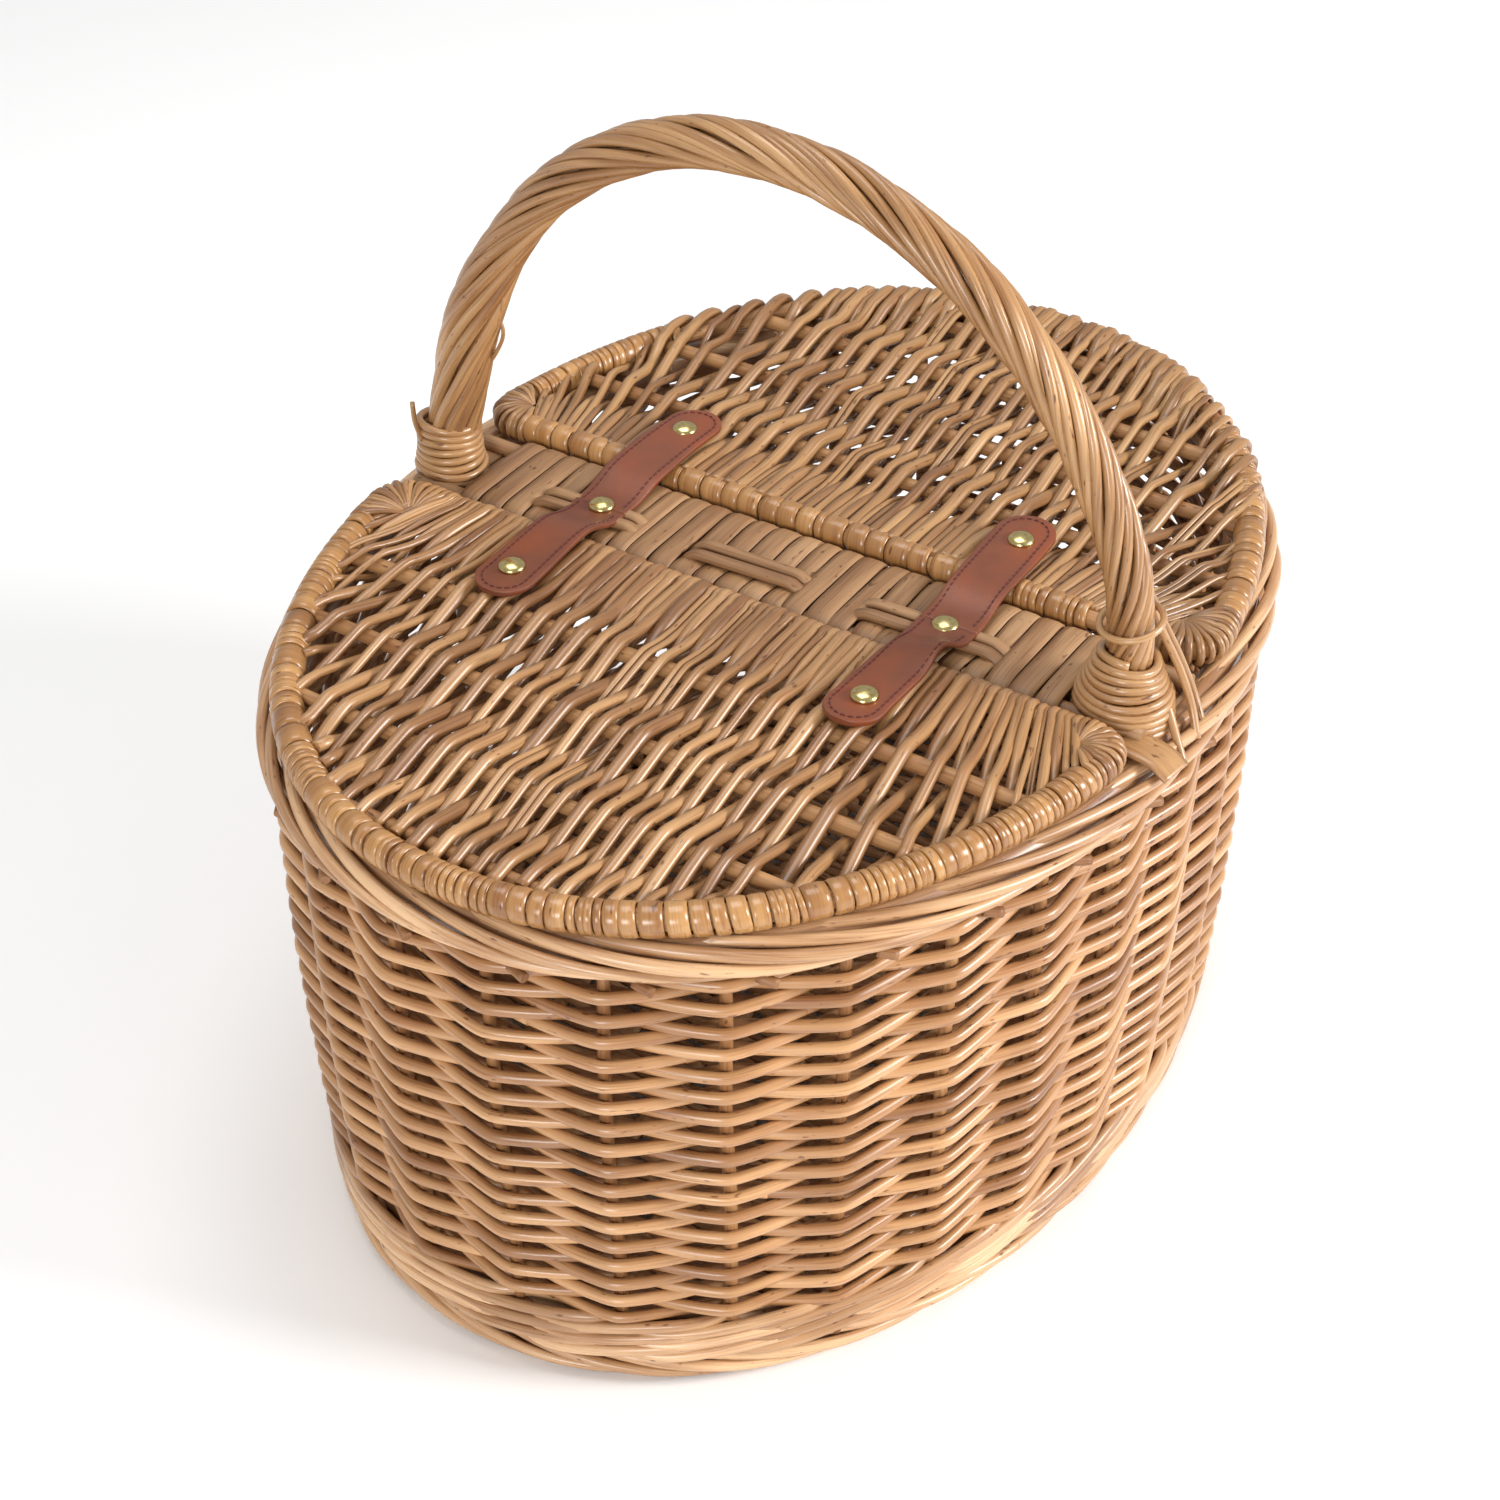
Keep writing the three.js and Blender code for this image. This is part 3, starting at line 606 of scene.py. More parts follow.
def wander(random, place, size, period):
    """A smooth drift along a rod, as wide as size, with a few bends in each period."""
    total = np.zeros_like(place)
    for times in (1.0, 1.7, 2.9):
        total += np.sin(place / period * 2 * np.pi * times + random.random() * 2 * np.pi) / times
    return total * size / 2


class HAMPER_OT_wall(bpy.types.Operator):
    """Weave the wall in plain rounds: each rod runs in front of one stake and behind the next"""

    bl_idname = "hamper.wall"
    bl_label = "Wall weave"

    def execute(self, context):
        sizes = context.scene.hamper_wall
        weave = Bundle(11)
        pitch = (WALL_TOP - WALL_BOTTOM) / sizes.rows
        rods_in_round = 3
        span = sizes.stakes // rods_in_round
        tail = 0.35
        for row in range(sizes.rows):
            middle = WALL_BOTTOM + (row + 0.5) * pitch
            start = 2 * weave.random.integers(0, sizes.stakes // 2) + (row + 1) % 2
            for rod in range(rods_in_round):
                first = start + rod * span
                place = steps_between(first - tail, first + span + tail)
                share = (place - place[0]) / (place[-1] - place[0])
                if rod % 2:
                    share = share[::-1]
                radius = sizes.weaver + (sizes.weaver_tip - sizes.weaver) * share
                radius *= weave.random.uniform(0.93, 1.05)
                height = middle + wander(weave.random, place, 0.7 * MM, 7.0)
                out = wall_swell(height, sizes) - sizes.thickness / 2 + sizes.swing * kinked(place + row)
                points, facing = round_basket(WALL_OVAL, place, out, height, sizes)
                weave.add(points, facing, radius * 0.92, radius)
        skin = [finish("varnished_wall_willow")]
        weave.build("wall_weave_rods", "basket", skin, ["wall_weave"])
        return {"FINISHED"}


class HAMPER_OT_stakes(bpy.types.Operator):
    """Stand the stakes in the wall, from the foot border up into the rim border"""

    bl_idname = "hamper.stakes"
    bl_label = "Stakes"

    def execute(self, context):
        sizes = context.scene.hamper_wall
        stakes = Bundle(12)
        names = []
        for stake in range(sizes.stakes):
            height = np.linspace(WALE_BOTTOM - 4 * MM, RIM_BOTTOM + 5 * MM, 18)
            out = wall_swell(height, sizes) - sizes.thickness / 2
            place = np.full(len(height), float(stake)) + wander(stakes.random, height, 0.03, 0.2)
            points, facing = round_basket(WALL_OVAL, place, out, height, sizes)
            taper = np.linspace(sizes.stake, sizes.stake * 0.85, len(height))
            stakes.add(points, facing, taper, sides=10)
            names.append("stake_%02d" % (stake + 1))
        stakes.build("stake_rods", "basket", [finish("dull_stake_willow")], names)
        return {"FINISHED"}


class HAMPER_OT_wale(bpy.types.Operator):
    """Wale the foot: three rods at a time, each in front of two stakes and behind one"""

    bl_idname = "hamper.wale"
    bl_label = "Bottom wale"

    def execute(self, context):
        sizes = context.scene.hamper_wall
        wale = Bundle(13)
        rounds = 3
        height = WALL_BOTTOM - WALE_BOTTOM
        radius = 2.35 * MM
        rise = 2.6 * MM
        for turn in range(rounds):
            share = (turn + 0.5) / rounds
            ring = [FOOT_OVAL[i] + (WALL_OVAL[i] - FOOT_OVAL[i]) * share for i in (0, 1)]
            for rod in range(3):
                place = np.arange(sizes.stakes * 8) / 8
                phase = 2 * np.pi * ((place + rod + turn) / 3 - 1 / 3)
                front = np.tanh(2.2 * (np.cos(phase) + 0.45)) / np.tanh(2.2 * 1.45)
                level = WALE_BOTTOM + height * share + rise * np.sin(phase)
                out = sizes.swing * front - sizes.thickness / 2
                points, facing = round_basket(ring, place, out, level, sizes)
                wale.add(points, facing, radius * 0.92, radius, closed=True)
        skin = [finish("varnished_border_willow")]
        wale.build("wale_rods", "basket", skin, ["bottom_wale"])
        return {"FINISHED"}


def roll_border(bundle, ring, middle, reach, turns, span, radius, sizes):
    """Rods rolled along a ring: each starts inside the border, comes over it and tucks in under it."""
    for rod in range(sizes.stakes):
        share = np.linspace(0, 1, int(span * 9))
        place = rod + share * span + bundle.random.uniform(-0.1, 0.1)
        turn = np.radians(turns[0] + (turns[1] - turns[0]) * share)
        own = radius * bundle.random.uniform(0.88, 1.08)
        out = middle[0] + reach[0] * np.cos(turn)
        height = middle[1] + reach[1] * np.sin(turn)
        points, facing = round_basket(ring, place, out, height, sizes)
        away = facing * np.cos(turn)[:, None] + UP * np.sin(turn)[:, None]
        bundle.add(points, away, own * (1 - 0.25 * share))
    # A core rod fills the roll; its darkest tone is painted shade in the gaps between the rolled rods.
    place = np.arange(sizes.stakes * 6) / 6
    points, facing = round_basket(ring, place, middle[0] - radius, middle[1], sizes)
    bundle.add(points, facing, reach[1], reach[0], closed=True, tone=0.0)


class HAMPER_OT_foot(bpy.types.Operator):
    """Roll the foot border: long rods that trail past four stakes and tuck under the basket"""

    bl_idname = "hamper.foot"
    bl_label = "Foot border"

    def execute(self, context):
        sizes = context.scene.hamper_wall
        foot = Bundle(14)
        radius = 2.4 * MM
        half_height = FOOT_TOP / 2
        half_depth = 6.0 * MM
        middle = (-half_depth - radius, half_height + 0.3 * MM)
        reach = (half_depth, half_height - radius)
        roll_border(foot, FOOT_OVAL, middle, reach, (115, -150), 4.6, radius, sizes)
        skin = [finish("varnished_border_willow")]
        foot.build("foot_border_rods", "basket", skin, ["foot_border"])
        return {"FINISHED"}


class HAMPER_OT_rim(bpy.types.Operator):
    """Roll the rim border under the lids, with the cut butts of its rods showing below it"""

    bl_idname = "hamper.rim"
    bl_label = "Rim border"

    def execute(self, context):
        sizes = context.scene.hamper_wall
        rim = Bundle(15)
        radius = 2.5 * MM
        half_depth = 7.4 * MM
        middle = (-half_depth - radius, (RIM_BOTTOM + RIM_TOP) / 2)
        reach = (half_depth, (RIM_TOP - RIM_BOTTOM) / 2 - radius)
        roll_border(rim, RIM_OVAL, middle, reach, (150, -120), 5.2, radius, sizes)
        for stake in range(sizes.stakes):
            share = np.linspace(0, 1, 5)
            place = stake + rim.random.uniform(0.2, 0.3) + 0.16 * share
            out = (-6.0 + 3.2 * share) * MM
            height = RIM_BOTTOM + (0.2 - 1.2 * share) * MM
            points, facing = round_basket(RIM_OVAL, place, out, height, sizes)
            rim.add(points, facing, 1.9 * MM, tone=0.0, slot=1)
        rim.build(
            "rim_border_rods",
            "basket",
            [finish("varnished_border_willow"), finish("dull_stake_willow")],
            ["rim_border"],
        )
        return {"FINISHED"}


class HAMPER_OT_base(bpy.types.Operator):
    """Weave the base: sticks along the basket, with weavers across them"""

    bl_idname = "hamper.base"
    bl_label = "Base"

    def execute(self, context):
        base = Bundle(16)
        stick_spacing = 33 * MM
        weaver = 2.1 * MM
        swing = 2.4 * MM
        pitch = 4.5 * MM
        half_count = int(BASE_OVAL[1] / stick_spacing)
        for stick in range(-half_count, half_count + 1):
            y = stick * stick_spacing
            end = BASE_OVAL[0] * (1 - (abs(y) / BASE_OVAL[1]) ** OVAL_POWER) ** (1 / OVAL_POWER)
            x = np.linspace(-end, end, 16)
            path = np.stack([x, np.full(16, y), np.full(16, BASE_MIDDLE)], -1)
            base.add(path, UP, 2.3 * MM, 3.6 * MM, slot=1)
        rows = int(2 * BASE_OVAL[0] / pitch)
        for row in range(1, rows):
            x = -BASE_OVAL[0] + row * pitch
            end = oval_half_width(*BASE_OVAL, x)
            if end < 6 * MM:
                continue
            count = max(6, int(2 * end / stick_spacing * 7))
            y = np.linspace(-end, end, count)
            z = BASE_MIDDLE + swing * kinked(y / stick_spacing + row)
            path = np.stack([np.full(count, x) + wander(base.random, y, 0.5 * MM, 0.2), y, z], -1)
            base.add(path, UP, weaver * 0.85, weaver * base.random.uniform(0.9, 1.06), sides=6)
        skins = [finish("varnished_wall_willow"), finish("dull_stake_willow")]
        base.build("base_rods", "basket", skins, ["base_panel"])
        return {"FINISHED"}


# ---------- lids ----------


def bind_edge(lid, side, sizes, first, last, pattern):
    """Binds the frame rod between two places along it with turns of split willow.

    Each entry of the pattern is the narrowest and widest turn, how many come together, and whether the
    rod is left bare instead.
    """
    points, facing, at, _, _ = lid_outline(side, LID_BORDER, 1.0 * MM)
    turn = np.arange(18) / 18 * 2 * np.pi
    outer = LID_BORDER - sizes.binding
    place = first
    while place < last:
        low, high, together, bare = pattern[lid.random.integers(0, len(pattern))]
        for _ in range(together):
            width = min(lid.random.uniform(low, high) * MM, last - place)
            if width < 1.2 * MM or bare:
                place += width
                break
            i = int(np.searchsorted(at, place + width / 2)) % len(at)
            ahead = np.cross(facing[i], UP)
            lean = lid.random.uniform(0.06, 0.22) * outer
            path = (
                points[i]
                + np.outer(np.cos(turn) * outer, facing[i])
                + np.outer(np.sin(turn) * outer, UP)
                + np.outer(np.sin(turn) * lean, ahead)
            )
            away = np.outer(np.cos(turn), facing[i]) + np.outer(np.sin(turn), UP)
            lid.add(path, away, sizes.binding, width * 0.485, closed=True, square=0.6, slot=1)
            place += width
        if last - place < 1.2 * MM:
            break


def fan_corner(lid, side, sizes, corner, first, last, reach):
    """Wraps a corner with thin rods that meet at one point inside it, like the ribs of a shell."""
    points, facing, at, whole, _ = lid_outline(side, LID_BORDER, 1.0 * MM)
    middle = int(np.searchsorted(at, corner % whole)) % len(at)
    meet = points[middle] - facing[middle] * reach
    outer = LID_BORDER - sizes.binding
    place = first
    bend = np.radians(np.linspace(100, -100, 13))
    while place < last:
        radius = lid.random.uniform(1.1, 1.7) * MM
        place += radius
        i = int(np.searchsorted(at, place % whole)) % len(at)
        over = (
            points[i] + np.outer(np.cos(bend) * outer, facing[i]) + np.outer(np.sin(bend) * outer, UP)
        )
        inward = points[i] - meet
        inward[2] = 0
        start = meet + inward * 0.08 + UP * 3.2 * MM
        finish_at = meet + inward * 0.08 - UP * 3.2 * MM
        share = np.linspace(0, 1, 7)[:-1, None]
        rise = np.sin(share * np.pi) * 0.9 * MM * UP
        there = start + (over[0] - start) * share + rise
        back = finish_at + (over[-1] - finish_at) * share - rise
        path = np.concatenate([there, over, back[::-1]])
        away = np.concatenate(
            [
                np.tile(UP, (6, 1)),
                np.outer(np.cos(bend), facing[i]) + np.outer(np.sin(bend), UP),
                np.tile(-UP, (6, 1)),
            ]
        )
        thin = np.concatenate([np.linspace(0.35, 1, 6), np.ones(13), np.linspace(1, 0.35, 6)])
        lid.add(path, away, radius * 0.8 * thin, radius * thin, sides=7)
        place += radius


def lid_weavers(lid, side, sizes, loops):
    """Weaves a lid's panel over and under its ribs, from the straight edge to the curved frame rod.

    With loops, the weavers turn down round the straight edge. Without, they turn round the curved one.
    """
    edge = LID_EDGE[side] + LID_BORDER
    rod_line = (LID_OVAL[0] - LID_BORDER, LID_OVAL[1] - LID_BORDER)
    reach = LID_OVAL[1] - 21 * MM
    calm_part = 82 * MM
    ribs = [LID_BORDER] + [sizes.first_rib + i * sizes.rib_spacing for i in range(LID_RIBS)]
    ribs = np.array(ribs) - LID_BORDER
    places = steps_between(0.0, float(LID_RIBS))
    run = np.interp(places, np.arange(len(ribs)), ribs)
    y = -reach
    row = 0
    while y < reach:
        corner = max(0.0, (abs(y) - calm_part) / (reach - calm_part))
        radius = sizes.weaver * lid.random.choice([0.7, 0.85, 0.95, 1.06]) * (1 - 0.40 * corner)
        strands = 2 if lid.random.random() < 0.12 else 1
        slope = math.copysign(0.55 * corner**1.25, y)
        line = y + radius + slope * run + wander(lid.random, run, 0.9 * MM, 0.16)
        x = edge + run
        within = (x / rod_line[0]) ** OVAL_POWER + (np.abs(line) / rod_line[1]) ** OVAL_POWER < 0.99
        stop = len(x) if within.all() else int(np.argmin(within))
        # The weavers are beaten up tight, so they press into each other.
        y += 1.7 * radius + lid.random.uniform(-0.15, 0.2) * MM
        row += 1
        if stop < 6:
            continue
        last_y = line[stop - 1]
        last_x = float(oval_half_width(rod_line[1], rod_line[0], last_y))
        lean = max(0.3, oval_facing(*rod_line, last_x, last_y)[0])
        wraps = not loops and lean > 0.42
        if wraps:
            stop = int(np.searchsorted(x[:stop], last_x - 5 * MM / lean))
        # Every weaver starts on top at the straight edge, and then they alternate.
        settled = np.clip(places[:stop] / 0.9, 0, 1) ** 2
        wave = kinked(places[:stop] + row) * settled + 0.75 * (1 - settled)
        end_sign = 1 if wraps or wave[-1] > 0 else -1
        calm = np.clip((run[stop - 1] - run[:stop]) / (14 * MM), 0, 1)
        end_rise = end_sign * (5.3 if wraps else 2.6) * MM
        rise = sizes.swing * wave * calm + end_rise * (1 - calm)
        taper = np.linspace(1.0, 0.84, stop)
        if row % 4 < 2:
            taper = taper[::-1]
        for strand in range(strands):
            own = radius / strands
            aside = (strand - (strands - 1) / 2) * 2 * own
            path = np.stack([side * x[:stop], line[:stop] + aside, LID_MIDDLE + rise], -1)
            out = np.tile(UP, (stop, 1))
            thick, wide = own * 0.92 * taper, own * 1.03 * taper
            if loops:
                turn = np.linspace(0, np.pi, 10)[::-1]
                ring = 4.9 * MM - own * 0.2
                bend = edge_turn(side, edge, path[0, 1], -ring, ring, turn)
                path = np.concatenate([bend[0], path[1:]])
                out = np.concatenate([bend[1], out[1:]])
                thick = np.concatenate([np.full(10, own * 0.8), thick[1:]])
                wide = np.concatenate([np.full(10, own * 1.06), wide[1:]])
            if wraps:
                turn = np.linspace(-0.25, np.pi * 0.9, 11)
                ring = sizes.frame_rod + own * 0.7
                bend = edge_turn(side, last_x, last_y + aside, ring / lean, end_sign * ring, turn)
                path = np.concatenate([path, bend[0]])
                out = np.concatenate([out * end_sign, bend[1]])
                thick = np.concatenate([thick, np.full(11, own * 0.72)])
                wide = np.concatenate([wide, np.full(11, own * 1.04)])
            lid.add(path, out, thick, wide, sides=8)


def edge_turn(side, x, y, across, upward, turn):
    """Points half way round a rod that lies at x and y, starting above it, and their facing."""
    path = np.stack(
        [side * (x + across * np.sin(turn)), np.full(len(turn), y), LID_MIDDLE + upward * np.cos(turn)], -1
    )
    out = np.stack(
        [side * np.sign(across) * np.sin(turn), np.zeros(len(turn)), np.sign(upward) * np.cos(turn)], -1
    )
    return path, out


class HAMPER_OT_lids(bpy.types.Operator):
    """Bind the two D frames, set their ribs, fan their corners and weave their panels"""

    bl_idname = "hamper.lids"
    bl_label = "Lids"

    def execute(self, context):
        sizes = context.scene.hamper_lid
        usual = ((6.0, 12.0, 1, False), (2.2, 3.2, 4, False), (4.5, 7.0, 2, False))
        narrow = ((2.2, 3.4, 5, False), (4.0, 6.0, 2, False))
        wide = ((7.5, 10.5, 2, False), (6.0, 9.0, 1, False))
        sparse = ((2.2, 3.2, 4, False), (5.0, 9.0, 1, True), (5.0, 7.0, 1, False))
        for side, body, skin in (
            (-1, "lid_left", "varnished_left_lid_willow"),
            (1, "lid_right", "varnished_right_lid_willow"),
        ):
            lid = Bundle(20 + side)
            points, facing, at, whole, corner = lid_outline(side, LID_BORDER, 4 * MM)
            lid.add(points, facing, sizes.frame_rod, closed=True, slot=2)
            front, back = (11 * MM, 18 * MM) if side < 0 else (14 * MM, 11 * MM)
            middle = (corner[0] + corner[1]) / 2
            front_from, front_to = corner[0] - front * 0.5, corner[1] + front * 0.9
            back_from, back_to = whole - corner[1] - back * 0.9, whole - corner[0] + back * 0.5
            fan_corner(lid, side, sizes, middle, front_from, front_to, front)
            fan_corner(lid, side, sizes, whole - middle, back_from, back_to, back)
            if side < 0:
                bind_edge(lid, side, sizes, front_to, front_to + 70 * MM, narrow)
                bind_edge(lid, side, sizes, front_to + 70 * MM, back_from, usual)
            else:
                bind_edge(lid, side, sizes, front_to, front_to + 130 * MM, usual)
                bind_edge(lid, side, sizes, back_from - 75 * MM, back_from, narrow)
                bind_edge(lid, side, sizes, 66 * MM, front_from, sparse)
                bind_edge(lid, side, sizes, 0, 66 * MM, wide)
                bind_edge(lid, side, sizes, back_to, whole, wide)
            for rib in range(LID_RIBS):
                x = LID_EDGE[side] + sizes.first_rib + rib * sizes.rib_spacing
                if x > LID_OVAL[0] - 12 * MM:
                    continue
                end = oval_half_width(LID_OVAL[0] - LID_BORDER, LID_OVAL[1] - LID_BORDER, x) - 1 * MM
                y = np.linspace(-end, end, 24)
                drift = wander(lid.random, y, 1.6 * MM, 0.3)
                path = np.stack([side * x + drift, y, np.full(24, LID_MIDDLE)], -1)
                lid.add(path, UP, sizes.rib * lid.random.uniform(0.9, 1.1), tone=0.55, slot=2)
            lid_weavers(lid, side, sizes, loops=side < 0)
            lid.build(
                body + "_woven",
                body,
                [finish(skin), finish("glossy_binding_willow"), finish("dull_stake_willow")],
                [body + "_frame", body + "_weave"],
            )
        return {"FINISHED"}


# ---------- the handle's middle line ----------

HANDLE_LEG = {name: middle_of("handle_collar_" + name, 1) for name in COLLAR}
HANDLE_X = middle_of("handle_collar_back", 0)
HANDLE_MIDDLE = (HANDLE_LEG["back"] + HANDLE_LEG["front"]) / 2
HANDLE_HALF_SPAN = (HANDLE_LEG["back"] - HANDLE_LEG["front"]) / 2
SPRING_ABOVE_COLLAR_FOOT = 4.8 * MM
LINE_BELOW_ROPE_TOP = 9.6 * MM
HANDLE_SPRING = COLLAR["back"][0].z + SPRING_ABOVE_COLLAR_FOOT
HANDLE_RISE = ROPE_TOP - LINE_BELOW_ROPE_TOP - HANDLE_SPRING


def arch(turn):
    """Points of the handle's middle line, and the directions away from the arch's centre."""
    turn = np.asarray(turn, float)
    zero = np.zeros_like(turn)
    y = HANDLE_MIDDLE + HANDLE_HALF_SPAN * np.cos(turn)
    # Just above the collars the legs lean in a little, and the top leans towards the back.
    foot = np.clip(np.minimum(turn, np.pi - turn) / 0.3, 0, 1)
    y = y - 4 * MM * foot * foot * (3 - 2 * foot) + 5 * MM * np.sin(turn) ** 2
    z = HANDLE_SPRING + HANDLE_RISE * np.sin(turn)
    # The legs run straight down below the springing.
    y = np.where(turn < 0, HANDLE_LEG["back"], np.where(turn > np.pi, HANDLE_LEG["front"], y))
    drop = np.where(turn < 0, turn, np.where(turn > np.pi, np.pi - turn, 0)) * HANDLE_RISE
    z = np.where(drop < 0, HANDLE_SPRING + drop, z)
    away = np.stack([zero, np.cos(turn) * HANDLE_RISE, np.sin(turn) * HANDLE_HALF_SPAN], -1)
    away = np.where(drop[:, None] < 0, np.stack([zero, np.sign(np.cos(turn)), zero], -1), away)
    away /= np.linalg.norm(away, axis=1)[:, None]
    return np.stack([zero + HANDLE_X, y, z], -1), away


# ---------- crossbar ----------


class HAMPER_OT_crossbar(bpy.types.Operator):
    """Lap the crossbar with wide shaved strips over its inner rods"""

    bl_idname = "hamper.crossbar"
    bl_label = "Crossbar"

    def execute(self, context):
        bar = Bundle(30)
        middle = (BAR_LEFT + BAR_RIGHT) / 2
        half = (BAR_RIGHT - BAR_LEFT) / 2
        level = (BAR_TOP + BAR_BOTTOM) / 2
        tall = (BAR_TOP - BAR_BOTTOM) / 2
        strip = 0.9 * MM
        raised = {"middle": (-11 * MM, 31 * MM), "front": (-92 * MM, -39 * MM), "back": (60 * MM, 99 * MM)}
        lap = np.arange(44) / 44 * 2 * np.pi
        x = (half - strip) * np.sign(np.cos(lap)) * np.abs(np.cos(lap)) ** 0.32
        z = (tall - strip) * np.sign(np.sin(lap)) * np.abs(np.sin(lap)) ** 0.55
        away = np.stack([np.sign(x) * (np.abs(x) / half) ** 9, np.zeros(44), np.sin(lap)], -1)
        away /= np.linalg.norm(away, axis=1)[:, None]
        ends = (COLLAR["front"][1].y + 2 * MM, COLLAR["back"][0].y - 2 * MM)
        y = HANDLE_LEG["front"] - 2 * MM
        stop = HANDLE_LEG["back"] + 2 * MM
        while y < stop - 4 * MM:
            width = min(bar.random.uniform(8.0, 10.5) * MM, stop - y)
            centre = y + width / 2
            under = any(low < centre < high for low, high in raised.values())
            press = np.exp(-(((x + middle + 11.5 * MM) / (8 * MM)) ** 2)) * (z > 0)
            dip = 2.0 * MM * press if under else 0 * x
            slant = bar.random.uniform(-1.2, 1.2) * MM * np.cos(lap)
            # The last strips lie lower, under the handle's collars.
            sink = 7 * MM * min(1.0, max(0.0, (max(ends[0] - centre, centre - ends[1])) / (5 * MM)))
            path = np.stack([middle + x, centre + slant, level + z - dip - sink], -1)
            bar.add(path, away, strip, width * 0.485, closed=True, square=0.8)
            y += width
        for low, high in raised.values():
            for x_rod, lean in ((-8 * MM, 1 * MM), (-14.5 * MM, 2.5 * MM)):
                share = np.linspace(-1, 1, 26)
                y_rod = (low + high) / 2 + share * ((high - low) / 2 + 5 * MM)
                sunk = np.clip((np.abs(share) - 0.72) / 0.28, 0, 1) ** 1.6
                path = np.stack(
                    [
                        x_rod + lean * share * -0.5,
                        y_rod,
                        BAR_TOP + (0.3 - 5.5 * sunk) * MM,
                    ],
                    -1,
                )
                bar.add(path, UP, 2.0 * MM, 2.8 * MM, slot=0)
        bar.build(
            "crossbar_strips", "basket", [finish("shaved_bar_willow")], ["crossbar_weave"]
        )
        rods = Bundle(31)
        inner = (RIM_OVAL[0] - 14 * MM, RIM_OVAL[1] - 14 * MM)
        for x_rod in (BAR_LEFT + 5.5 * MM, middle - 2 * MM, BAR_RIGHT - 5.5 * MM):
            end = oval_half_width(*inner, x_rod)
            y_rod = np.linspace(-end, end, 30)
            drift = wander(rods.random, y_rod, 1 * MM, 0.3)
            path = np.stack([np.full(30, x_rod) + drift, y_rod, np.full(30, level)], -1)
            rods.add(path, UP, 3.2 * MM)
        rods.build(
            "crossbar_inner_rods",
            "basket",
            [finish("shaved_bar_willow")],
            ["crossbar_rod_left", "crossbar_rod_middle", "crossbar_rod_right"],
        )
        return {"FINISHED"}


# ---------- handle ----------


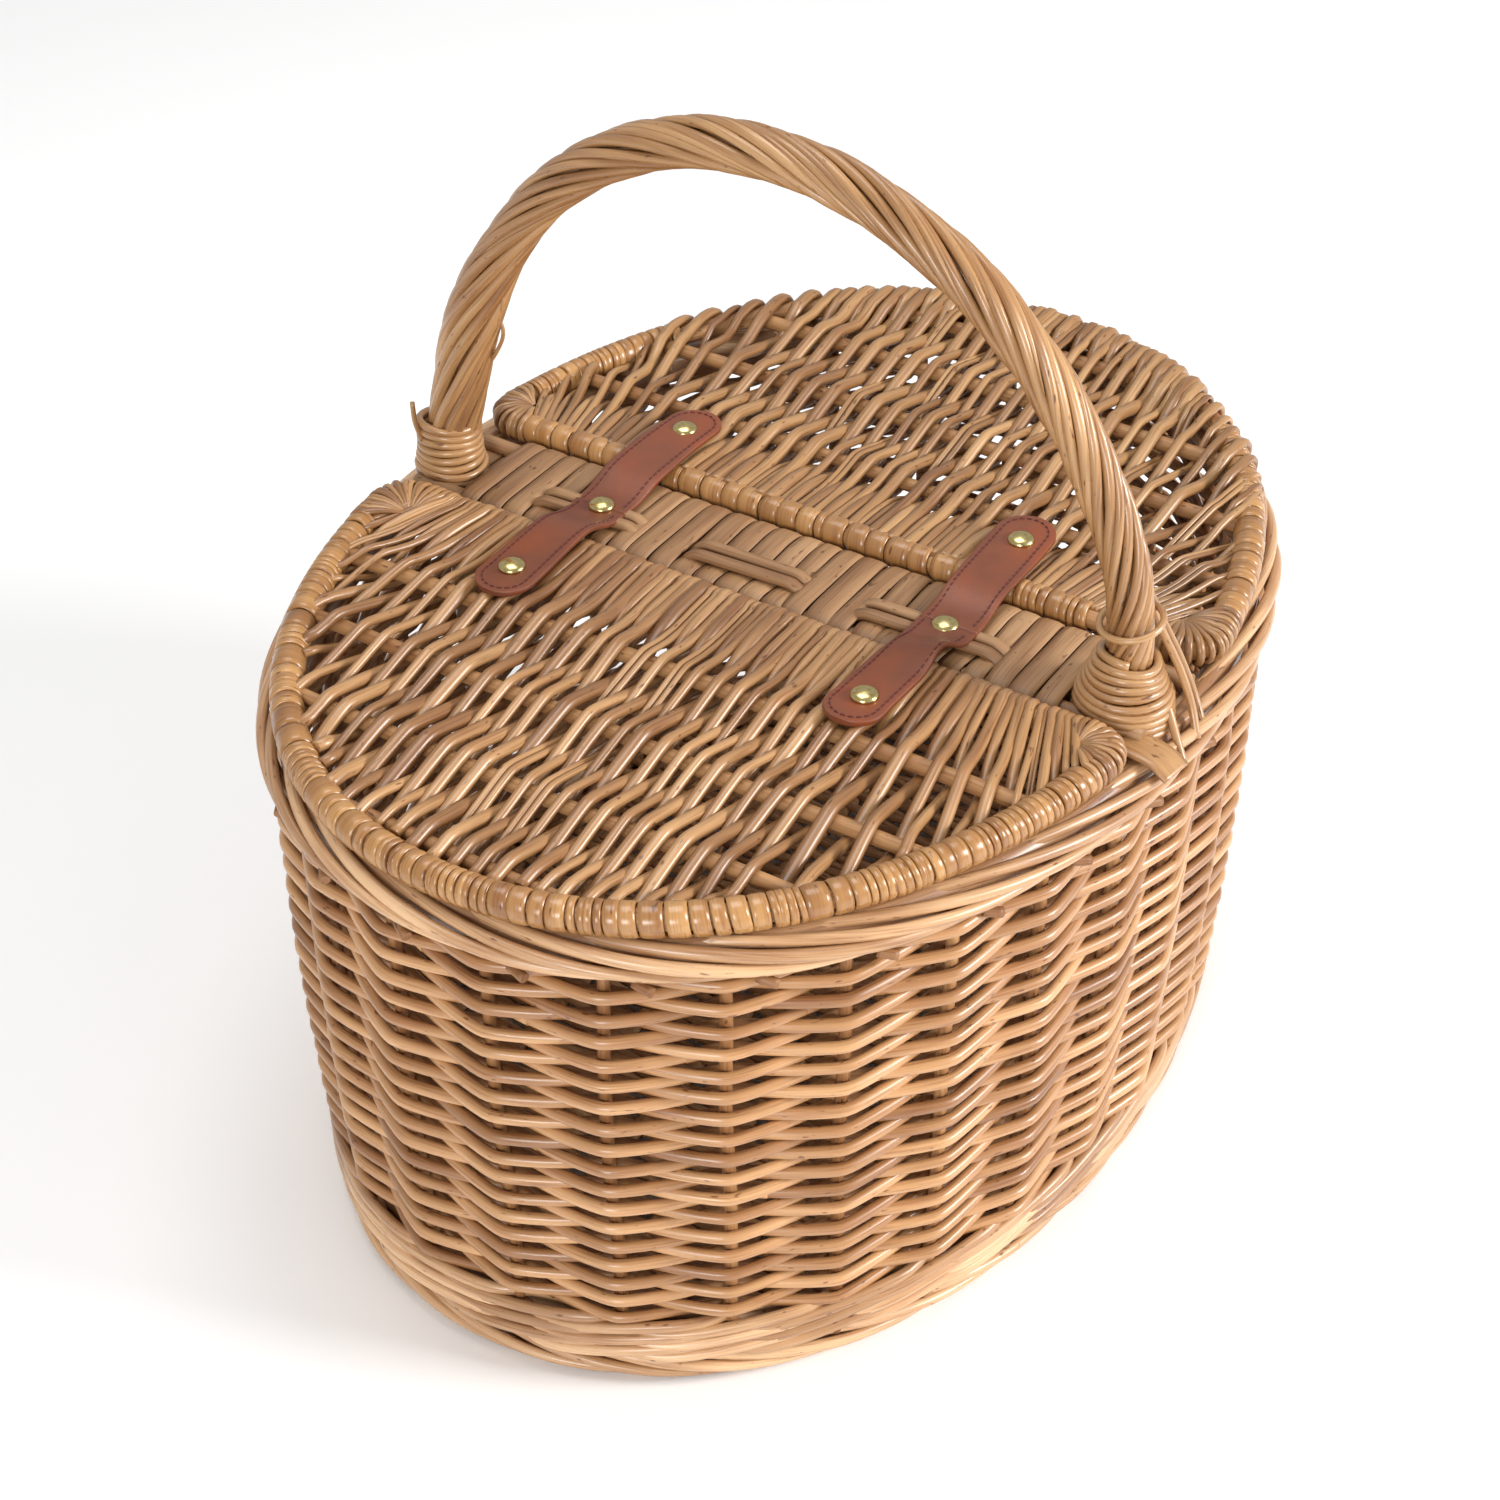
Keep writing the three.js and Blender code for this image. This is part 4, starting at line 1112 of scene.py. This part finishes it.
class HAMPER_OT_handle(bpy.types.Operator):
    """Rope the bow, set its legs inside the wall and whip its two feet"""

    bl_idname = "hamper.handle"
    bl_label = "Handle"

    def execute(self, context):
        sizes = context.scene.hamper_handle
        rope = Bundle(40)
        share = np.linspace(0, 1, 150)
        turn = -0.05 + (np.pi + 0.1) * share
        middle, away = arch(turn)
        aside = np.array([-1.0, 0.0, 0.0])
        run = np.concatenate([[0], np.cumsum(np.linalg.norm(np.diff(middle, axis=0), axis=1))])
        # One turn of the rope in this length: long at the back foot, short at the front foot.
        lay = np.interp(share, [0, 0.15, 0.4, 0.75, 1], [0.26, 0.21, 0.165, 0.13, 0.10])
        wound = np.concatenate([[0], np.cumsum(np.diff(run) / lay[1:] * 2 * np.pi)])
        # The rope is thickest above its back foot.
        girth = np.interp(
            turn,
            [0, 0.2, 0.38, 0.5, 0.65, 0.9, 1.3, 2.1, 2.8, 3.14],
            [9.6, 10.6, 11.2, 10.6, 9.2, 8.6, 9.0, 8.9, 8.4, 7.8],
        ) * MM
        girth = np.convolve(np.pad(girth, 5, mode="edge"), np.ones(11) / 11, mode="valid")
        for strand in range(sizes.strands):
            radius = sizes.strand * rope.random.uniform(0.86, 1.12) * girth / (9 * MM)
            angle = wound + strand / sizes.strands * 2 * np.pi + wander(rope.random, share, 0.11, 0.7)
            centre = girth - radius + 0.35 * MM * np.sin(wander(rope.random, share, 3.0, 0.5))
            direction = away * np.cos(angle)[:, None] + aside * np.sin(angle)[:, None]
            path = middle + direction * centre[:, None]
            rope.add(path, direction, radius, radius * 0.93)
        # Thinner rods lie in the grooves here and there.
        for _ in range(4):
            start = rope.random.uniform(0.0, 0.45)
            part = (share > start) & (share < start + rope.random.uniform(0.35, 0.5))
            angle = wound[part] + (rope.random.integers(0, sizes.strands) + 0.5) / sizes.strands * 2 * np.pi
            direction = away[part] * np.cos(angle)[:, None] + aside * np.sin(angle)[:, None]
            path = middle[part] + direction * (girth[part] - 1.1 * MM)[:, None]
            ends = np.linspace(0, 1, len(path))
            rope.add(path, direction, 1.1 * MM * np.minimum(1, 0.2 + 8 * np.minimum(ends, 1 - ends)))
        # The core rod between the strands gets the darkest tone, as painted shade in the grooves of the rope.
        rope.add(middle, away, girth - 4.0 * MM, tone=0.0)
        # A loose end bows off the inside of the back leg.
        for points in (
            ((-9.0, 121, 309), (-10, 116.5, 300), (-10, 117, 290), (-9.5, 121.5, 280), (-9, 129, 272)),
            ((-6.0, 125, 290), (-6.5, 119.5, 280), (-7, 123, 270), (-7, 130, 260)),
        ):
            rope.add(smooth(points), (0, -1, 0.4), 0.75 * MM, tone=0.8, sides=6)
        skin = [finish("varnished_handle_willow")]
        rope.build("handle_rope_strands", "basket", skin, ["handle_rope"])

        bow = Bundle(41)
        for name, side in (("back", 1), ("front", -1)):
            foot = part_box("handle_bow")[0].z
            inside = WALL_OVAL[1] - WALL_THICKNESS - 7 * MM
            low = inside + WALL_FLARE * (foot - WALL_BOTTOM) / (WALL_TOP - WALL_BOTTOM)
            line = smooth(
                np.array(
                    [
                        (HANDLE_X, side * low, foot),
                        (HANDLE_X, side * (low + inside + WALL_FLARE) / 2, (foot + WALL_TOP) / 2),
                        (HANDLE_X, side * (inside + WALL_FLARE), WALL_TOP),
                        (HANDLE_X, HANDLE_LEG[name], HANDLE_SPRING),
                        (HANDLE_X, HANDLE_LEG[name], HANDLE_SPRING + 20 * MM),
                    ]
                )
                / MM
            )
            taper = np.interp(np.arange(len(line)), [0, 3, 10], [3.2 * MM, 5.6 * MM, 6 * MM])
            bow.add(line, (1, 0, 0), taper, sides=12)
        bow.build("handle_bow_legs", "basket", skin, ["handle_bow"])

        for name, corners in COLLAR.items():
            collar = Bundle(42 if name == "back" else 43)
            wide = (corners[1].x - corners[0].x) / 2 + (1.2 * MM if name == "front" else 0)
            narrow = 12.2 * MM if name == "back" else 10.6 * MM
            height = corners[1].z - corners[0].z + 1.5 * MM
            rod = sizes.whipping
            turns = height / (2 * rod) * (0.99 if name == "back" else 1.12)
            share = np.linspace(0, 1, int(turns * 26))
            angle = share * turns * 2 * np.pi
            spread = share**1.7 if name == "front" else share**0.6
            radius = wide + (narrow - wide) * spread - rod + wander(collar.random, share, 0.5 * MM, 0.6)
            lean = 1.1 * MM * np.sin(angle - 0.8) + 0.5 * MM * np.sin(2 * angle + 9 * share)
            z = corners[0].z - 1.5 * MM + height * share + lean * np.clip(share * 8, 0, 1)
            x = HANDLE_X + radius * np.cos(angle)
            path = np.stack([x, HANDLE_LEG[name] + radius * np.sin(angle), z], -1)
            direction = np.stack([np.cos(angle), np.sin(angle), 0 * angle], -1)
            collar.add(path, direction, rod, rod * 1.05, sides=8, tone=0.62)
            if name == "back":
                tip = ((-20, 151, 230), (-21, 153, 238), (-20.5, 154, 246))
                collar.add(smooth(tip), (-1, 0, 0), 1.0 * MM, tone=0.2, sides=6)
            else:
                add_front_tie(collar)
            collar.build(
                "handle_collar_" + name + "_whipping",
                "basket",
                skin,
                ["handle_collar_" + name],
            )

        ring = Bundle(44)
        low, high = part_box("handle_ring")
        leg, _ = arch(np.linspace(2.4, np.pi + 0.05, 80))
        centre = leg[int(np.argmin(np.abs(leg[:, 2] - (low.z + high.z) / 2)))]
        angle = np.arange(48) / 48 * 2 * np.pi
        radius = 10.6 * MM
        path = centre + np.stack(
            [radius * np.cos(angle), radius * np.sin(angle), 2.2 * MM * np.cos(angle + 0.6)], -1
        )
        direction = np.stack([np.cos(angle), np.sin(angle), 0 * angle], -1)
        ring.add(path, direction, 1.25 * MM, closed=True, tone=0.7)
        ring.build("handle_hoop", "basket", skin, ["handle_ring"])
        return {"FINISHED"}


def smooth(points, steps=6):
    """A smooth line through points given in millimetres."""
    points = np.asarray(points, float) * MM
    padded = np.concatenate([[2 * points[0] - points[1]], points, [2 * points[-1] - points[-2]]])
    line = []
    for a, b, c, d in zip(padded, padded[1:], padded[2:], padded[3:]):
        for t in np.arange(steps) / steps:
            bow = (2 * a - 5 * b + 4 * c - d) * t**2 + (3 * b - a - 3 * c + d) * t**3
            line.append(0.5 * (2 * b + (c - a) * t + bow))
    return np.array(line + [points[-1]])


def add_front_tie(bundle):
    """The flat cane tie at the front foot, and the rods that run down past the collar to the rim."""
    cane = (
        (-24, -134, 209.5), (-25, -142, 211.0), (-26, -152, 212.2), (-27, -162, 211.4), (-28, -169, 208.0),
    )
    bundle.add(smooth(cane), UP, 0.8 * MM, 7.2 * MM, square=0.5, tone=0.45)
    for line in (
        ((3, -138, 256), (5, -144, 243), (7, -151, 229), (8, -157, 216), (5, -163, 206)),
        ((0, -141, 252), (1, -147, 240), (2, -154, 227), (1, -160, 215), (-3, -165, 205)),
        ((-6, -152, 222), (-9, -157, 215), (-13, -162, 209), (-16, -166, 204)),
    ):
        bundle.add(smooth(line), (0, -1, 0.3), 1.5 * MM, tone=0.5)


# ---------- straps and rivets ----------

STRAP_ON_LID = LID_TOP + 1.2 * MM
STRAP_ON_BAR = BAR_TOP + 0.6 * MM


def strap_underside(x):
    """Height of a strap's underside: on the lids at its ends, sagging to the crossbar between them."""
    dip = np.exp(-(np.abs((x - RIVET_X["bar"]) / (17 * MM)) ** 3.5))
    return STRAP_ON_LID - (STRAP_ON_LID - STRAP_ON_BAR) * dip


class HAMPER_OT_straps(bpy.types.Operator):
    """Lay the stitched leather straps across the crossbar, each in two halves that meet at the crossbar's
    rivet
    """

    bl_idname = "hamper.straps"
    bl_label = "Straps"

    def execute(self, context):
        sizes = context.scene.hamper_strap
        half_width = sizes.width / 2
        for name, y in STRAP_Y.items():
            rough = np.random.default_rng(7 if name == "back" else 8)
            drifts = {kind: rough.random(3) * 6.28 for kind in ("lift", "aside", "wide", "tilt")}
            for side, body in ((-1, "lid_left"), (1, "lid_right")):
                strap = Bundle(50 + side + (5 if name == "back" else 0))
                straight = side * (STRAP_END[side] - RIVET_X["bar"]) - half_width
                bend = np.linspace(0, np.pi / 2, 14)[1:-1]
                u = np.concatenate([np.linspace(0, straight, 48), straight + half_width * np.sin(bend)])
                x = RIVET_X["bar"] + side * u
                round_end = np.sqrt(np.maximum(half_width**2 - (u - straight) ** 2, 0))
                wide = np.where(u > straight, round_end, half_width)
                # The waves die out at the middle rivet, so that the halves meet flush.
                wave = side * u * (1 - np.exp(-((u / (8 * MM)) ** 2)))
                wide = wide + 0.4 * MM * np.sin(wave / (11 * MM) + drifts["wide"][0])
                lift = 0.7 * MM * np.sin(wave / (13 * MM) + drifts["lift"][0])
                shift = 0.9 * MM * np.sin(wave / (24 * MM) + drifts["aside"][0])
                tilt = 0.05 * np.sin(wave / (21 * MM) + drifts["tilt"][0])
                if name == "front":
                    # This one has buckled where it drops from the left lid to the crossbar.
                    buckle = np.exp(-(((x - RIVET_X["bar"] + 21 * MM) / (9 * MM)) ** 2))
                    lift = lift + 1.6 * MM * buckle
                    tilt = tilt + 0.20 * buckle
                    wide = wide - 1.3 * MM * buckle
                middle = strap_underside(x) + sizes.thickness / 2 + np.maximum(lift, -0.4 * MM)
                path = np.stack([x, y + shift, middle], -1)
                away = np.stack([0 * x, tilt, np.ones_like(x)], -1)
                thick = np.full(len(x), sizes.thickness / 2)
                strap.add(path, away, thick, wide, sides=30, square=0.22, sheet=True)
                self.stitch(strap, side, u, path, away, sizes, straight)
                hinge = side * LID_EDGE[side]
                near = hinge - side * 7 * MM
                far = hinge + side * 6 * MM
                nodes = ["strap_" + name + "_" + body.split("_")[1]]
                if side > 0:
                    nodes.append("strap_" + name + "_bar")
                strap.build(
                    "strap_" + name + "_half_" + body.split("_")[1],
                    ("basket", body, (near, y, LID_TOP), (far, y, LID_TOP)),
                    [finish("tan_leather"), finish("waxed_thread")],
                    nodes,
                )
        return {"FINISHED"}

    def stitch(self, strap, side, u, path, away, sizes, straight):
        """Runs a line of stitches round this half of the strap, a little in from its edge."""
        inset = sizes.width / 2 - sizes.stitch_inset
        outline = [(along, inset) for along in np.arange(0.5 * MM, straight, 0.2 * MM)]
        for turn in np.arange(np.pi / 2, -np.pi / 2, -0.02):
            outline.append((straight + inset * math.cos(turn), inset * math.sin(turn)))
        outline += [(along, -inset) for along in np.arange(straight, 0.5 * MM, -0.2 * MM)]
        outline = np.array(outline)
        run = np.concatenate([[0], np.cumsum(np.hypot(*np.diff(outline, axis=0).T))])
        pitch = sizes.stitch * 1.16
        for start in np.arange(0.6 * MM, run[-1] - sizes.stitch, pitch):
            at = start + np.linspace(0, 1, 5) * sizes.stitch
            along = np.interp(at, run, outline[:, 0])
            across = np.interp(at, run, outline[:, 1])
            ground = np.stack([np.interp(along, u, path[:, i]) for i in range(3)], -1)
            lean = np.interp(along, u, away[:, 1])
            arc = np.array([-0.3, 0.08, 0.16, 0.08, -0.3]) * MM
            height = ground[:, 2] + sizes.thickness / 2 + arc - lean * across
            points = np.stack([ground[:, 0], ground[:, 1] + across, height], -1)
            strap.add(points, UP, 0.28 * MM, 0.34 * MM, sides=6, slot=1)


class HAMPER_OT_rivets(bpy.types.Operator):
    """Set a domed brass rivet in each end of the straps and over the crossbar"""

    bl_idname = "hamper.rivets"
    bl_label = "Rivets"

    def execute(self, context):
        sizes = context.scene.hamper_strap
        size = sizes.rivet
        profile = [
            (0.05, -1.1), (0.9, -1.0), (0.985, -0.7), (1.0, -0.1), (0.985, 0.25), (0.93, 0.7), (0.83, 1.12),
            (0.7, 1.5), (0.52, 1.83), (0.32, 2.05), (0.12, 2.16), (0.01, 2.18),
        ]
        for place, body in (("bar", "basket"), ("left", "lid_left"), ("right", "lid_right")):
            rivets = Bundle(60)
            x = RIVET_X[place]
            for y in STRAP_Y.values():
                top = float(strap_underside(x)) + sizes.thickness + 0.3 * MM
                path = [(x, y, top + rise * MM) for _, rise in profile]
                rivets.add(path, (1, 0, 0), [share * size for share, _ in profile], sides=36)
            rivets.build(
                "rivets_" + place,
                body,
                [finish("polished_brass")],
                ["rivet_" + name + "_" + place for name in STRAP_Y],
            )
        return {"FINISHED"}


# ---------- stage ----------

CAMERA_PLACE = Vector((-0.7058, -0.4315, 0.7662))
CAMERA_AHEAD = Vector((0.67254, 0.42239, -0.60768))
CAMERA_LENS = 65.36
CAMERA_SHIFT = (-0.0076, -0.0036)
LIGHTS_AIM = Vector((0, 0, 0.15))
STUDIO_GLOW = 0.47  # brightness of the white surroundings
FLOOR_REACH = 8.0


class HAMPER_OT_stage(bpy.types.Operator):
    """Set the pale floor, the soft studio light and the camera"""

    bl_idname = "hamper.stage"
    bl_label = "Stage"

    def execute(self, context):
        scene = context.scene
        floor_mesh = bpy.data.meshes.new("floor")
        reach = FLOOR_REACH
        corners = [(-reach, -reach, 0), (reach, -reach, 0), (reach, reach, 0), (-reach, reach, 0)]
        floor_mesh.from_pydata(corners, [], [(0, 1, 2, 3)])
        floor = bpy.data.objects.new("floor", floor_mesh)
        scene.collection.objects.link(floor)
        material, tree = new_material("pale_floor")
        shader = add_node(
            tree, "ShaderNodeBsdfPrincipled", {"Base Color": (0.95, 0.95, 0.95, 1), "Roughness": 0.8}
        )
        add_node(tree, "ShaderNodeOutputMaterial", {"Surface": shader.outputs[0]})
        floor_mesh.materials.append(material)

        world = bpy.data.worlds.new("studio")
        scene.world = world
        world.use_nodes = True
        world.node_tree.nodes["Background"].inputs[0].default_value = (1, 1, 1, 1)
        world.node_tree.nodes["Background"].inputs[1].default_value = STUDIO_GLOW
        for name, place, size, power, tint in (
            ("key", (0.7, -1.9, 1.05), 0.7, 50, (1.0, 0.99, 0.98)),
            ("front", (-1.8, -0.6, 0.9), 0.6, 20, (1.0, 0.99, 0.98)),
            ("top", (0.2, 0.3, 2.1), 1.2, 18, (1.0, 1.0, 1.0)),
        ):
            lamp = bpy.data.lights.new(name, "AREA")
            lamp.size = size
            lamp.energy = power
            lamp.color = tint
            holder = bpy.data.objects.new(name, lamp)
            scene.collection.objects.link(holder)
            holder.location = place
            aim = LIGHTS_AIM - Vector(place)
            holder.rotation_euler = aim.to_track_quat("-Z", "Y").to_euler()

        camera = bpy.data.cameras.new("camera")
        camera.lens = CAMERA_LENS
        camera.sensor_width = 36
        camera.shift_x, camera.shift_y = CAMERA_SHIFT
        holder = bpy.data.objects.new("camera", camera)
        scene.collection.objects.link(holder)
        place = CAMERA_PLACE
        ahead = CAMERA_AHEAD.normalized()
        right = ahead.cross(Vector((0, 0, 1))).normalized()
        up = right.cross(ahead)
        holder.matrix_world = Matrix(
            (
                (right.x, up.x, -ahead.x, place.x),
                (right.y, up.y, -ahead.y, place.y),
                (right.z, up.z, -ahead.z, place.z),
                (0, 0, 0, 1),
            )
        )
        scene.camera = holder
        scene.view_settings.view_transform = "Standard"
        return {"FINISHED"}


STEPS = (
    HAMPER_OT_foot,
    HAMPER_OT_wale,
    HAMPER_OT_base,
    HAMPER_OT_stakes,
    HAMPER_OT_wall,
    HAMPER_OT_rim,
    HAMPER_OT_crossbar,
    HAMPER_OT_lids,
    HAMPER_OT_handle,
    HAMPER_OT_straps,
    HAMPER_OT_rivets,
    HAMPER_OT_stage,
)


class HAMPER_PT_panel(bpy.types.Panel):
    """Lists the hamper's sizes and the steps that make it"""

    bl_idname = "HAMPER_PT_panel"
    bl_label = "Willow hamper"
    bl_space_type = "VIEW_3D"
    bl_region_type = "UI"
    bl_category = "Willow hamper"

    def draw(self, context):
        for group, kind in GROUPS.items():
            box = self.layout.box()
            for name in kind.__annotations__:
                box.prop(getattr(context.scene, group), name)
        for step in STEPS:
            self.layout.operator(step.bl_idname)


def register():
    for group, kind in GROUPS.items():
        bpy.utils.register_class(kind)
        setattr(bpy.types.Scene, group, bpy.props.PointerProperty(type=kind))
    for step in STEPS:
        bpy.utils.register_class(step)
    bpy.utils.register_class(HAMPER_PT_panel)


def unregister():
    bpy.utils.unregister_class(HAMPER_PT_panel)
    for step in reversed(STEPS):
        bpy.utils.unregister_class(step)
    for group, kind in GROUPS.items():
        delattr(bpy.types.Scene, group)
        bpy.utils.unregister_class(kind)


def main():
    register()
    for step in STEPS:
        group, name = step.bl_idname.split(".")
        getattr(getattr(bpy.ops, group), name)()


if __name__ == "__main__":
    main()
